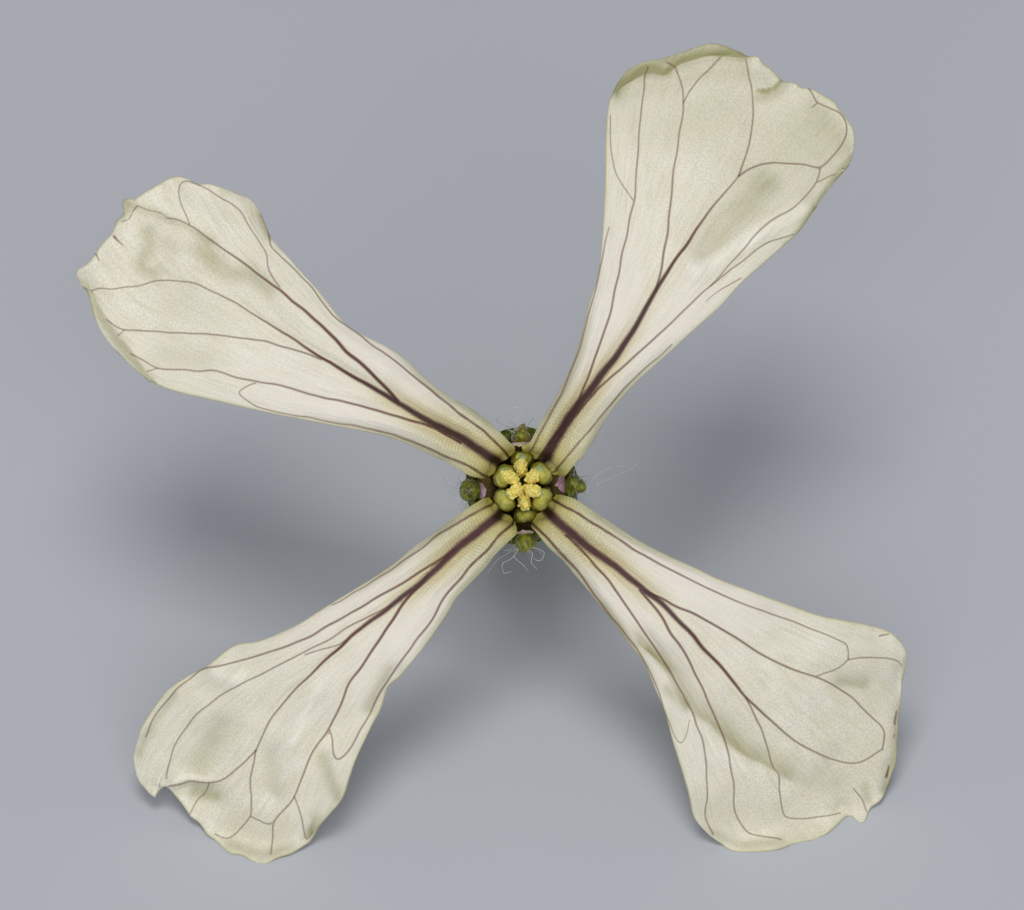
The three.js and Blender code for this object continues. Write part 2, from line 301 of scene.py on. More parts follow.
class Value:
    """A socket of a material, whose arithmetic adds Math nodes."""

    def __init__(self, recipe: "Recipe", socket: bpy.types.NodeSocket) -> None:
        """Keep the socket and the recipe that it belongs to."""
        self.recipe = recipe
        self.socket = socket

    def __add__(self, other: "Value | float") -> "Value":
        """Add a value or number."""
        return self.recipe.math("ADD", self, other)

    def __sub__(self, other: "Value | float") -> "Value":
        """Take a value or number away."""
        return self.recipe.math("SUBTRACT", self, other)

    def __mul__(self, other: "Value | float") -> "Value":
        """Multiply by a value or number."""
        return self.recipe.math("MULTIPLY", self, other)

    def __truediv__(self, other: "Value | float") -> "Value":
        """Divide by a value or number."""
        return self.recipe.math("DIVIDE", self, other)

    def __pow__(self, other: "Value | float") -> "Value":
        """Raise to a power."""
        return self.recipe.math("POWER", self, other)

    def __rsub__(self, other: float) -> "Value":
        """Take this value away from a number."""
        return self.recipe.math("SUBTRACT", other, self)

    __radd__ = __add__

    def sine(self) -> "Value":
        """Return the sine."""
        return self.recipe.math("SINE", self)

    def size(self) -> "Value":
        """Return the value without its sign."""
        return self.recipe.math("ABSOLUTE", self)

    def smooth(self, low: float = 0, high: float = 1) -> "Value":
        """Rise smoothly from 0 at low to 1 at high."""
        return self.ranged("SMOOTHSTEP", low, high)

    def held(self) -> "Value":
        """Hold the value between 0 and 1."""
        return self.ranged("LINEAR", 0, 1)

    def ranged(self, rise: str, low: float, high: float) -> "Value":
        """Map low to 0 and high to 1, and go no further on either side.

        Args:
            rise: The node's name for how it rises between them.
            low: Start of the rise.
            high: End of the rise.

        Returns:
            The mapped value.
        """
        inputs = {"Value": self, "From Min": low, "From Max": high}
        node = self.recipe.node("ShaderNodeMapRange", {"interpolation_type": rise}, inputs)
        return Value(self.recipe, node.outputs["Result"])


class Recipe:
    """The node tree of one material."""

    def __init__(self, name: str) -> None:
        """Start an empty material of this name."""
        self.material = bpy.data.materials.new(name)
        self.material.use_nodes = True
        self.tree = self.material.node_tree
        self.tree.nodes.clear()

    def node(self, kind: str, settings: dict | None = None, inputs: dict | None = None) -> bpy.types.Node:
        """Add a node.

        Args:
            kind: Type of the node.
            settings: Properties that are set first.
            inputs: Values or links of its sockets, by identifier or place.

        Returns:
            The node.
        """
        made = self.tree.nodes.new(kind)
        for name, setting in (settings or {}).items():
            setattr(made, name, setting)
        for key, given in (inputs or {}).items():
            if isinstance(key, int):
                socket = made.inputs[key]
            else:
                socket = next(one for one in made.inputs if one.identifier == key)
            if isinstance(given, Value):
                self.tree.links.new(given.socket, socket)
            elif isinstance(given, tuple) and socket.type == "RGBA":
                socket.default_value = (*given, 1.0)
            else:
                socket.default_value = given
        return made

    def math(self, operation: str, *values: Value | float) -> Value:
        """Add a Math node.

        Args:
            operation: Name of the operation.
            *values: Its one or two values.

        Returns:
            The result.
        """
        made = self.node("ShaderNodeMath", {"operation": operation}, dict(enumerate(values)))
        return Value(self, made.outputs[0])

    def blend(self, factor: Value | float, first: Value | Colour, second: Value | Colour) -> Value:
        """Mix two colours.

        Args:
            factor: 0 for the first colour, 1 for the second.
            first: A colour or a socket that holds one.
            second: A colour or a socket that holds one.

        Returns:
            The mixed colour.
        """
        inputs = {"Factor_Float": factor, "A_Color": first, "B_Color": second}
        made = self.node("ShaderNodeMix", {"data_type": "RGBA"}, inputs)
        result = next(one for one in made.outputs if one.identifier == "Result_Color")
        return Value(self, result)

    def layered(self, colour: Value | Colour, *layers: tuple[Value | float, Value | Colour]) -> Value:
        """Lay colours over a first one, each by its own share.

        Args:
            colour: The first colour.
            *layers: For each layer the share that shows and its colour.

        Returns:
            The mixed colour.
        """
        for share, tone in layers:
            colour = self.blend(share, colour, tone)
        return colour

    def attribute(self, name: str) -> Value:
        """Read a number that the mesh keeps at its vertices."""
        return Value(self, self.node("ShaderNodeAttribute", {"attribute_name": name}).outputs["Fac"])

    def parts(self, vector: Value) -> tuple[Value, Value, Value]:
        """Split a vector into its three numbers."""
        made = self.node("ShaderNodeSeparateXYZ", None, {0: vector})
        return tuple(Value(self, made.outputs[index]) for index in range(3))

    def attribute_vector(self, name: str) -> tuple[Value, Value, Value]:
        """Read three numbers that the mesh keeps at its vertices."""
        made = self.node("ShaderNodeAttribute", {"attribute_name": name})
        return self.parts(Value(self, made.outputs["Vector"]))

    def sheet(self, name: str) -> tuple[Value, Value]:
        """Read the mesh's own flat coordinates: across it and along it, in millimetres."""
        made = self.node("ShaderNodeUVMap", {"uv_map": name})
        return self.parts(Value(self, made.outputs["UV"]))[:2]

    def place(self) -> Value:
        """Read the place on the piece, in millimetres."""
        metres = Value(self, self.node("ShaderNodeTexCoord").outputs["Object"])
        made = self.node("ShaderNodeVectorMath", {"operation": "SCALE"}, {0: metres, "Scale": 1 / MM})
        return Value(self, made.outputs["Vector"])

    def joined(self, across: Value | float, along: Value | float) -> Value:
        """Join two numbers into a vector."""
        return Value(self, self.node("ShaderNodeCombineXYZ", None, {0: across, 1: along}).outputs[0])

    def cloud(self, where: Value, scale: float, detail: float = 2.0) -> Value:
        """Read soft noise of about 0.3 to 0.7.

        Args:
            where: The coordinates.
            scale: Bumps to a unit of them.
            detail: Number of finer layers.

        Returns:
            The noise.
        """
        made = self.node("ShaderNodeTexNoise", None, {"Vector": where, "Scale": scale, "Detail": detail})
        return Value(self, made.outputs["Fac"])

    def cells(self, where: Value, scale: float, feature: str = "F1") -> Value:
        """Read the distance pattern of scattered cells.

        Args:
            where: The coordinates.
            scale: Cells to a unit of them.
            feature: Which distance is read.

        Returns:
            The distance.
        """
        made = self.node("ShaderNodeTexVoronoi", {"feature": feature}, {"Vector": where, "Scale": scale})
        return Value(self, made.outputs["Distance"])

    def bump(self, height: Value, depth: float = 1.0) -> Value:
        """Turn a height into a bumped normal.

        Args:
            height: The height.
            depth: What a height of 1 stands for, in millimetres.

        Returns:
            The normal.
        """
        inputs = {"Height": height, "Distance": depth * MM, "Strength": 1.0}
        return Value(self, self.node("ShaderNodeBump", None, inputs).outputs["Normal"])

    def finish(self, **sockets: Value | Colour | float | tuple) -> bpy.types.Material:
        """Add the surface shader and the output.

        Args:
            **sockets: Values or links of the shader's sockets, with _ for each space.

        Returns:
            The material.
        """
        inputs = {name.replace("_", " "): given for name, given in sockets.items()}
        shader = self.node("ShaderNodeBsdfPrincipled", None, inputs)
        self.node("ShaderNodeOutputMaterial", None, {"Surface": Value(self, shader.outputs["BSDF"])})
        return self.material


@dataclass(frozen=True)
class PetalFinish:
    """Thin cream petal with fibres, dark veins and a ridged claw, and painted light: olive shade and
    highlights along its folds, highlights on the claw's ridges, shade on the claw's margins, sparkle on
    its cells and a glow deep in the throat.
    """

    name: str
    cream: Colour = paint(241, 236, 219)
    warm: Colour = paint(237, 231, 210)
    fibre: Colour = paint(252, 249, 238)
    grain: Colour = paint(196, 189, 156)
    lilac: Colour = paint(246, 238, 230)
    # Colour of the painted shade along the folds.
    painted_shading: Colour = paint(142, 140, 78)
    rim: Colour = paint(208, 205, 152)
    # Colour of the painted shade on the claw's margins beyond the side veins.
    painted_margin_shade: Colour = paint(182, 180, 148)
    claw: Colour = paint(220, 213, 138)
    flank: Colour = paint(206, 194, 100)
    throat: Colour = paint(164, 156, 48)
    halo: Colour = paint(220, 198, 152)
    glint: Colour = paint(240, 188, 116)
    vein: Colour = paint(106, 62, 46)
    vein_deep: Colour = paint(62, 26, 28)
    vein_base: Colour = paint(40, 16, 14)
    vein_heart: Colour = paint(62, 26, 28)
    ridge_period: float = 0.1

    def mask(self, recipe: Recipe, rank: Rank, wobble: Value, swell: Value) -> tuple[Value, Value, Value]:
        """Draw the veins of one rank.

        Args:
            recipe: The material that is made.
            rank: Which veins.
            wobble: Small shift of their edges, in millimetres.
            swell: Share by which they are wider or narrower than planned.

        Returns:
            How much vein shows, its half width, and the distance from its middle.
        """
        across, along, half = recipe.attribute_vector(rank.value)
        away = (across * across + along * along) ** 0.5
        edge = half * swell
        soft = edge * 0.5 + 0.009
        shown = 1 - ((away + wobble - edge + soft) / (soft * 2)).smooth()
        return shown * (half / 0.01).held(), half, away

    def material(self) -> bpy.types.Material:
        """Build the material."""
        recipe = Recipe(self.name)
        strand, run = recipe.sheet("petal")
        throat = recipe.attribute("throat")
        fibres = recipe.cloud(recipe.joined(strand * 9, run * 0.9), 1.0, 3.0)
        # Painted shading from the petal's strokes, streaked along the fibres: shade above 0, highlights
        # below 0.
        painted_shading = recipe.attribute("painted_shading")
        painted_shading = painted_shading + (fibres - 0.5) * painted_shading * (1 - painted_shading) * 2.6
        clouds = recipe.cloud(recipe.joined(strand, run), 1.1)
        grain = recipe.cloud(recipe.joined(strand * 21, run * 17), 1.0)
        # Cells for the painted sparkle of the limb.
        painted_sparkle = recipe.cells(recipe.joined(strand * 10, run * 9), 1.0)
        uneven = recipe.cloud(recipe.joined(strand * 14, run * 14), 1.0)
        slant = (run + strand.size() * 0.05) * (2 * math.pi / self.ridge_period)
        wave = (slant + fibres * 16 + uneven * 7).sine()
        ridged = throat.smooth(0.05, 0.6)
        colour = recipe.layered(
            self.cream,
            (clouds.smooth(0.3, 0.7), self.warm),
            (fibres.smooth(0.45, 0.75) * 0.5, self.fibre),
            ((1 - fibres.smooth(0.25, 0.5)) * 0.26, self.grain),
            ((1 - grain.smooth(0.36, 0.6)) * 0.36, self.grain),
            (recipe.attribute("lilac") * 0.6, self.lilac),
            (throat.smooth(0.2, 0.8) * 0.85, self.claw),
            (recipe.attribute("flank") * 0.85, self.flank),
            # Painted highlights on the crests of the claw's ridges.
            ((wave * 0.5 + 0.5).smooth(0.15, 0.85) * ridged * 0.6, self.fibre),
            (throat.smooth(0.6, 0.95), self.throat),
            # Painted sparkle: small bright cells on the limb.
            ((1 - painted_sparkle.smooth(0.0, 0.17)) * 0.9 * (1 - throat), self.fibre),
            # Painted shade on the claw's margins.
            (recipe.attribute("painted_margin_shade") * 0.75, self.painted_margin_shade),
            (recipe.attribute("rim") * 0.55, self.rim),
            # Painted olive shade, then painted highlights where the strokes are below 0.
            (painted_shading.held(), self.painted_shading),
            ((0 - painted_shading).held(), self.fibre),
            (recipe.attribute("halo") * 0.45, self.halo),
        )
        swell = 0.7 + uneven * 0.6
        streaks = recipe.cloud(recipe.joined(strand * 26, run * 3), 1.0)
        wobble = (uneven - 0.5) * 0.02 + (streaks - 0.5) * throat.smooth(0.0, 0.6) * 0.12
        for rank in reversed(Rank):
            shown, half, away = self.mask(recipe, rank, wobble, swell)
            heart = (1 - (away / (half + 0.01)).smooth(0.2, 0.9)) * half.smooth(0.07, 0.13)
            ink = recipe.layered(
                self.vein,
                (half.smooth(0.025, 0.08), self.vein_deep),
                (heart, self.vein_heart),
                (throat.smooth(0.7, 0.95), self.vein_base),
            )
            colour = recipe.blend(shown * (0.6 + half.smooth(0.018, 0.045) * 0.38), colour, ink)
        sparks = 1 - recipe.cells(recipe.joined(strand * 4, run * 16), 1.0).smooth(0.05, 0.3)
        colour = recipe.blend(sparks * recipe.attribute("glint"), colour, self.glint)
        wrinkles = recipe.cloud(recipe.joined(strand * 5, run * 0.9), 1.0, 3.0)
        relief = wave * (ridged * 0.5 + 0.02) * 0.011 + wrinkles * 0.036 - grain * 0.012 + fibres * 0.012
        return recipe.finish(
            Base_Color=colour,
            Roughness=0.42 + grain * 0.25,
            Specular_IOR_Level=0.4,
            Subsurface_Weight=0.12,
            Subsurface_Radius=(1.0, 0.85, 0.5),
            Subsurface_Scale=0.00008,
            # Painted light: the claws' walls deep in the throat glow, standing in for light shining
            # through them.
            Emission_Color=recipe.blend(recipe.attribute("glow"), paint(0, 0, 0), colour),
            Emission_Strength=0.4,
            Normal=recipe.bump(relief),
        )


@dataclass(frozen=True)
class SepalFinish:
    """Fleshy olive-green hood with brownish specks and a clear margin on the blade; its bright cells are
    partly speckle and partly painted sparkle, and it is darker where its mottled relief is low, partly as
    painted shade.
    """

    name: str = "sepal_green"
    green: Colour = paint(130, 138, 16)
    light: Colour = paint(188, 192, 84)
    dark: Colour = paint(62, 68, 2)
    clear: Colour = paint(176, 178, 128)
    brown: Colour = paint(122, 62, 30)
    gloss: float = 0.5

    def material(self) -> bpy.types.Material:
        """Build the material."""
        recipe = Recipe(self.name)
        where = recipe.place()
        mottle = recipe.cloud(where, 5.0)
        cells = recipe.cells(where, 15.0)
        blush = recipe.attribute("blush") * recipe.cloud(where, 12.0, 1.0).smooth(0.45, 0.6)
        colour = recipe.layered(
            self.dark,
            # Darker where the mottled relief is low: partly tone, partly painted shade.
            (mottle.smooth(0.34, 0.6), self.green),
            # Bright cells: partly speckle, partly painted sparkle.
            ((1 - cells.smooth(0.05, 0.45)) * 0.5, self.light),
            (blush * 0.6, self.brown),
            (recipe.attribute("margin"), self.clear),
        )
        relief = mottle * 0.03 - cells * 0.016
        return recipe.finish(
            Base_Color=colour,
            Roughness=0.35 + mottle * 0.3,
            Specular_IOR_Level=self.gloss,
            Coat_Weight=self.gloss * 0.5,
            Coat_Roughness=0.12,
            Subsurface_Weight=0.2,
            Subsurface_Radius=(0.6, 0.9, 0.2),
            Subsurface_Scale=0.0002,
            Normal=recipe.bump(relief),
        )


@dataclass(frozen=True)
class TissueFinish:
    """Plain moist tissue: two colours in soft patches over fine cells, with brown painted shade where it
    lies deep inside the flower.
    """

    name: str
    base: Colour
    patch: Colour
    patches: float = 2.5
    cells: float = 14.0
    relief: float = 0.02
    roughness: float = 0.4
    glow: float = 0.2
    painted_inner_shade: bool = False
    # Colour of the painted shade on the receptacle's top, deep inside the flower.
    brown: Colour = paint(118, 92, 12)

    def material(self) -> bpy.types.Material:
        """Build the material."""
        recipe = Recipe(self.name)
        where = recipe.place()
        patches = recipe.cloud(where, self.patches, 3.0)
        cells = recipe.cells(where, self.cells)
        colour = recipe.blend(patches.smooth(0.35, 0.65), self.base, self.patch)
        # Painted shade where the piece lies deep inside the flower.
        if self.painted_inner_shade:
            colour = recipe.blend(recipe.attribute("inner"), colour, self.brown)
        height = patches * 0.6 - cells * 0.6
        return recipe.finish(
            Base_Color=colour,
            Roughness=self.roughness + cells * 0.2,
            Subsurface_Weight=self.glow,
            Subsurface_Radius=(0.9, 0.8, 0.3),
            Subsurface_Scale=0.0002,
            Normal=recipe.bump(height, self.relief),
        )


@dataclass(frozen=True)
class PollenFinish:
    """Dry clotted pollen, pale on the clots, with amber painted shade in the hollows between them."""

    name: str = "pollen_yellow"
    light: Colour = paint(255, 240, 142)
    yellow: Colour = paint(254, 226, 106)
    hollow_shade_colour: Colour = paint(242, 204, 92)

    def material(self) -> bpy.types.Material:
        """Build the material."""
        recipe = Recipe(self.name)
        where = recipe.place()
        patches = recipe.cloud(where, 11.0)
        grains = recipe.cells(where, 34.0)
        colour = recipe.blend(patches.smooth(0.35, 0.65), self.light, self.yellow)
        # Painted shade: amber in the hollows between the clots.
        colour = recipe.blend(recipe.attribute("painted_hollow_shade").smooth() * 0.7, colour, self.hollow_shade_colour)
        return recipe.finish(
            Base_Color=colour,
            Roughness=0.7 + grains * 0.2,
            Subsurface_Weight=0.35,
            Subsurface_Radius=(1.0, 0.8, 0.2),
            Subsurface_Scale=0.0001,
            Normal=recipe.bump(patches * 0.5 - grains * 0.5, 0.012),
        )


@dataclass(frozen=True)
class AntherFinish:
    """Olive-yellow anther wall with a crackled bluish-green patch at its tip, and painted shade that
    darkens it further down into the flower.
    """

    name: str = "anther_wall"
    olive: Colour = paint(184, 178, 60)
    pale: Colour = paint(204, 200, 106)
    # Colour of the painted shade low on the anther.
    deep: Colour = paint(124, 118, 6)
    teal: Colour = paint(172, 196, 136)
    blue: Colour = paint(96, 150, 130)

    def material(self) -> bpy.types.Material:
        """Build the material."""
        recipe = Recipe(self.name)
        where = recipe.place()
        patches = recipe.cloud(where, 3.6, 3.0)
        cells = recipe.cells(where, 26.0)
        cracks = 1 - recipe.cells(where, 13.0, "DISTANCE_TO_EDGE").smooth(0.02, 0.16)
        shown = (recipe.attribute("teal") + (patches - 0.5) * 1.6 - cells * 0.5).smooth(0.2, 0.6)
        colour = recipe.layered(
            self.olive,
            (patches.smooth(0.36, 0.64), self.pale),
            ((1 - cells.smooth(0.1, 0.5)) * 0.3, self.pale),
            # Painted shade further down the anther, deep in the flower.
            (recipe.attribute("depth").smooth(), self.deep),
            (shown * 0.85, recipe.blend(cracks * 0.8, self.teal, self.blue)),
        )
        height = patches * 0.8 - cells * 0.4
        return recipe.finish(
            Base_Color=colour,
            Roughness=0.4 + cells * 0.2,
            Subsurface_Weight=0.35,
            Subsurface_Radius=(0.9, 0.8, 0.2),
            Subsurface_Scale=0.00015,
            Normal=recipe.bump(height, 0.035),
        )


@dataclass(frozen=True)
class HairFinish:
    """Clear plant hair with a moist gloss."""

    name: str = "plant_hair"
    clear: Colour = paint(246, 247, 246)
    dull: Colour = paint(196, 198, 196)

    def material(self) -> bpy.types.Material:
        """Build the material."""
        recipe = Recipe(self.name)
        uneven = recipe.cloud(recipe.place(), 9.0, 1.0)
        return recipe.finish(
            Base_Color=recipe.blend(uneven, self.clear, self.dull),
            Roughness=0.08 + uneven * 0.15,
            Specular_IOR_Level=0.8,
            Transmission_Weight=0.45,
            IOR=1.4,
        )


@dataclass(frozen=True)
class FloorFinish:
    """Plain pale matt floor."""

    name: str = "studio_floor"
    tone: Colour = paint(192, 195, 202)
    tone_other: Colour = paint(195, 198, 204)

    def material(self) -> bpy.types.Material:
        """Build the material."""
        recipe = Recipe(self.name)
        patches = recipe.cloud(recipe.place(), 0.05)
        colour = recipe.blend(patches, self.tone, self.tone_other)
        return recipe.finish(Base_Color=colour, Roughness=0.85, Specular_IOR_Level=0.2)


def linked(name: str, data: bpy.types.ID) -> bpy.types.Object:
    """Put data into the scene as an object of this name."""
    made = bpy.data.objects.new(name, data)
    bpy.context.collection.objects.link(made)
    return made


def places_of(made: bmesh.types.BMesh) -> np.ndarray:
    """Return the places of a mesh's vertices."""
    return np.array([tuple(vertex.co) for vertex in made.verts])


def note(made: bmesh.types.BMesh, name: str, values: np.ndarray | list[float]) -> None:
    """Keep a number at each vertex of a mesh.

    Args:
        made: The mesh.
        name: Name of the attribute.
        values: A number for each vertex.
    """
    layer = made.verts.layers.float.new(name)
    for vertex, value in zip(made.verts, values):
        vertex[layer] = value


def present(mesh: bmesh.types.BMesh | bpy.types.Mesh, name: str, look: bpy.types.Material,
            stands_for: str | None = None) -> bpy.types.Object:
    """Make a finished mesh a piece that rides on the flower.

    Args:
        mesh: The mesh, in metres and in place.
        name: Name of the piece.
        look: Its material.
        stands_for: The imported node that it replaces.

    Returns:
        The piece.
    """
    if isinstance(mesh, bmesh.types.BMesh):
        data = bpy.data.meshes.new(name)
        mesh.to_mesh(data)
        mesh.free()
    else:
        data = mesh
        data.name = name
    data.materials.clear()
    data.materials.append(look)
    data.polygons.foreach_set("use_smooth", np.ones(len(data.polygons), dtype=bool))
    data.update()
    piece = linked(name, data)
    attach(piece, "root")
    if stands_for:
        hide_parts(stands_for)
    logging.info("%s: %d faces", name, len(data.polygons))
    return piece


class Slab:
    """A thin closed sheet on a grid of columns and rows, which is bent to shape."""

    def __init__(self, columns: int, rows: int) -> None:
        """Start the flat sheet of unit size.

        Args:
            columns: Number of faces across it.
            rows: Number of faces along it.
        """
        sheet = bmesh.new()
        bmesh.ops.create_grid(sheet, x_segments=columns, y_segments=rows, size=0.5)
        bmesh.ops.solidify(sheet, geom=sheet.faces[:], thickness=0.1)
        self.mesh = bpy.data.meshes.new("sheet")
        sheet.to_mesh(self.mesh)
        sheet.free()
        flat = np.empty(len(self.mesh.vertices) * 3)
        self.mesh.vertices.foreach_get("co", flat)
        flat = flat.reshape(-1, 3)
        self.column = np.rint((flat[:, 0] + 0.5) * columns).astype(int)
        self.row = np.rint((flat[:, 1] + 0.5) * rows).astype(int)
        self.back = flat[:, 2] < -0.05

    def bend(self, middle: np.ndarray, thickness: np.ndarray, normal: np.ndarray | None = None) -> None:
        """Move the sheet's two faces to each side of a middle surface and lay it down.

        Args:
            middle: Places of the middle surface by row and column.
            thickness: Thickness by row and column.
            normal: Unit vectors of the thickness, or None for the surface's own.
        """
        normal = facing(middle) if normal is None else normal
        side = np.where(self.back, -0.5, 0.5)[:, None]
        reach = thickness[self.row, self.column][:, None]
        points = middle[self.row, self.column] + normal[self.row, self.column] * side * reach
        self.mesh.vertices.foreach_set("co", LIE.placed(points).ravel())

    def mark(self, name: str, values: np.ndarray) -> None:
        """Keep values by row and column in an attribute of the mesh.

        Args:
            name: Name of the attribute.
            values: Numbers or vectors by row and column.
        """
        if values.ndim == 3:
            layer = self.mesh.attributes.new(name, "FLOAT_VECTOR", "POINT")
            layer.data.foreach_set("vector", values[self.row, self.column].astype(np.float32).ravel())
        else:
            layer = self.mesh.attributes.new(name, "FLOAT", "POINT")
            layer.data.foreach_set("value", values[self.row, self.column].astype(np.float32))

    def lay_out(self, name: str, across: np.ndarray, along: np.ndarray) -> None:
        """Keep flat coordinates by row and column as the mesh's UV map.

        Args:
            name: Name of the map.
            across: Coordinate across the sheet.
            along: Coordinate along the sheet.
        """
        layer = self.mesh.uv_layers.new(name=name)
        corner = np.empty(len(self.mesh.loops), dtype=np.int32)
        self.mesh.loops.foreach_get("vertex_index", corner)
        flat = np.stack([across[self.row, self.column], along[self.row, self.column]], axis=-1)
        layer.data.foreach_set("uv", flat[corner].astype(np.float32).ravel())


def facing(middle: np.ndarray) -> np.ndarray:
    """Return the unit normals of a surface that is given by row and column."""
    normal = np.cross(np.gradient(middle, axis=1), np.gradient(middle, axis=0))
    return normal / np.maximum(np.linalg.norm(normal, axis=-1, keepdims=True), 1e-9)


@dataclass(frozen=True)
class Fold:
    """A soft ridge along a line, or a valley if its height is below 0, wider where it leans to."""

    line: Points
    width: float
    height: float
    lean: tuple[float, float] = (0.0, 0.0)

    def lift(self, points: np.ndarray) -> np.ndarray:
        """Return how far it lifts the petal at points of the plan."""
        path = Course(self.line, steps=6).path
        offset, _ = nearest(path, np.zeros(len(path)), points)
        width = np.full(len(points), self.width)
        if any(self.lean):
            width = width * (0.6 + 0.4 * np.tanh(offset @ np.array(self.lean) / 0.06))
        return self.height * np.exp(-np.einsum("ij,ij->i", offset, offset) / width**2)


def lifted(folds: list[Fold], plan: np.ndarray) -> np.ndarray:
    """Return how far folds together lift the places of a plan, by row and column."""
    points = plan.reshape(-1, 2)
    return sum((fold.lift(points) for fold in folds), np.zeros(len(points))).reshape(plan.shape[:2])


@dataclass(frozen=True)
class Vein:
    """A vein of a petal: its half width at its start and end, and how fast it thins out."""

    rank: Rank
    start: float
    end: float
    line: Points
    fade: float = 1.5

    THROAT_REACH = 1.5
    CLAW_STEPS = 9

    def path(self, outward: np.ndarray) -> tuple[np.ndarray, np.ndarray]:
        """Work out the line and its half widths, run on down the claw if it starts at the throat.

        Args:
            outward: Direction of the petal in the plan.

        Returns:
            The corners, and the half width at each.
        """
        course = Course(self.line, steps=8)
        share = course.walked / course.length
        half = self.end + (self.start - self.end) * (1 - share) ** self.fade
        path = course.path
        if np.linalg.norm(path[0]) < self.THROAT_REACH:
            depth = np.arange(self.CLAW_STEPS, 0, -1)[:, None]
            path = np.vstack([path[0] - outward * depth, path])
            half = np.concatenate([np.full(len(depth), half[0]), half])
        return path, half


@dataclass(frozen=True)
class PetalForm:
    """A petal as it is seen from the front, from the throat out to the tip."""

    heading: float
    spread: float
    left: Points
    tip: Points
    right: Points
    rise: float
    droop: float
    seed: int
    folds: list[Fold]
    curls: list[Fold]
    # Strokes of painted shade, and of painted highlight where their height is below 0.
    painted_shading_strokes: list[Fold]
    veins: list[Vein]


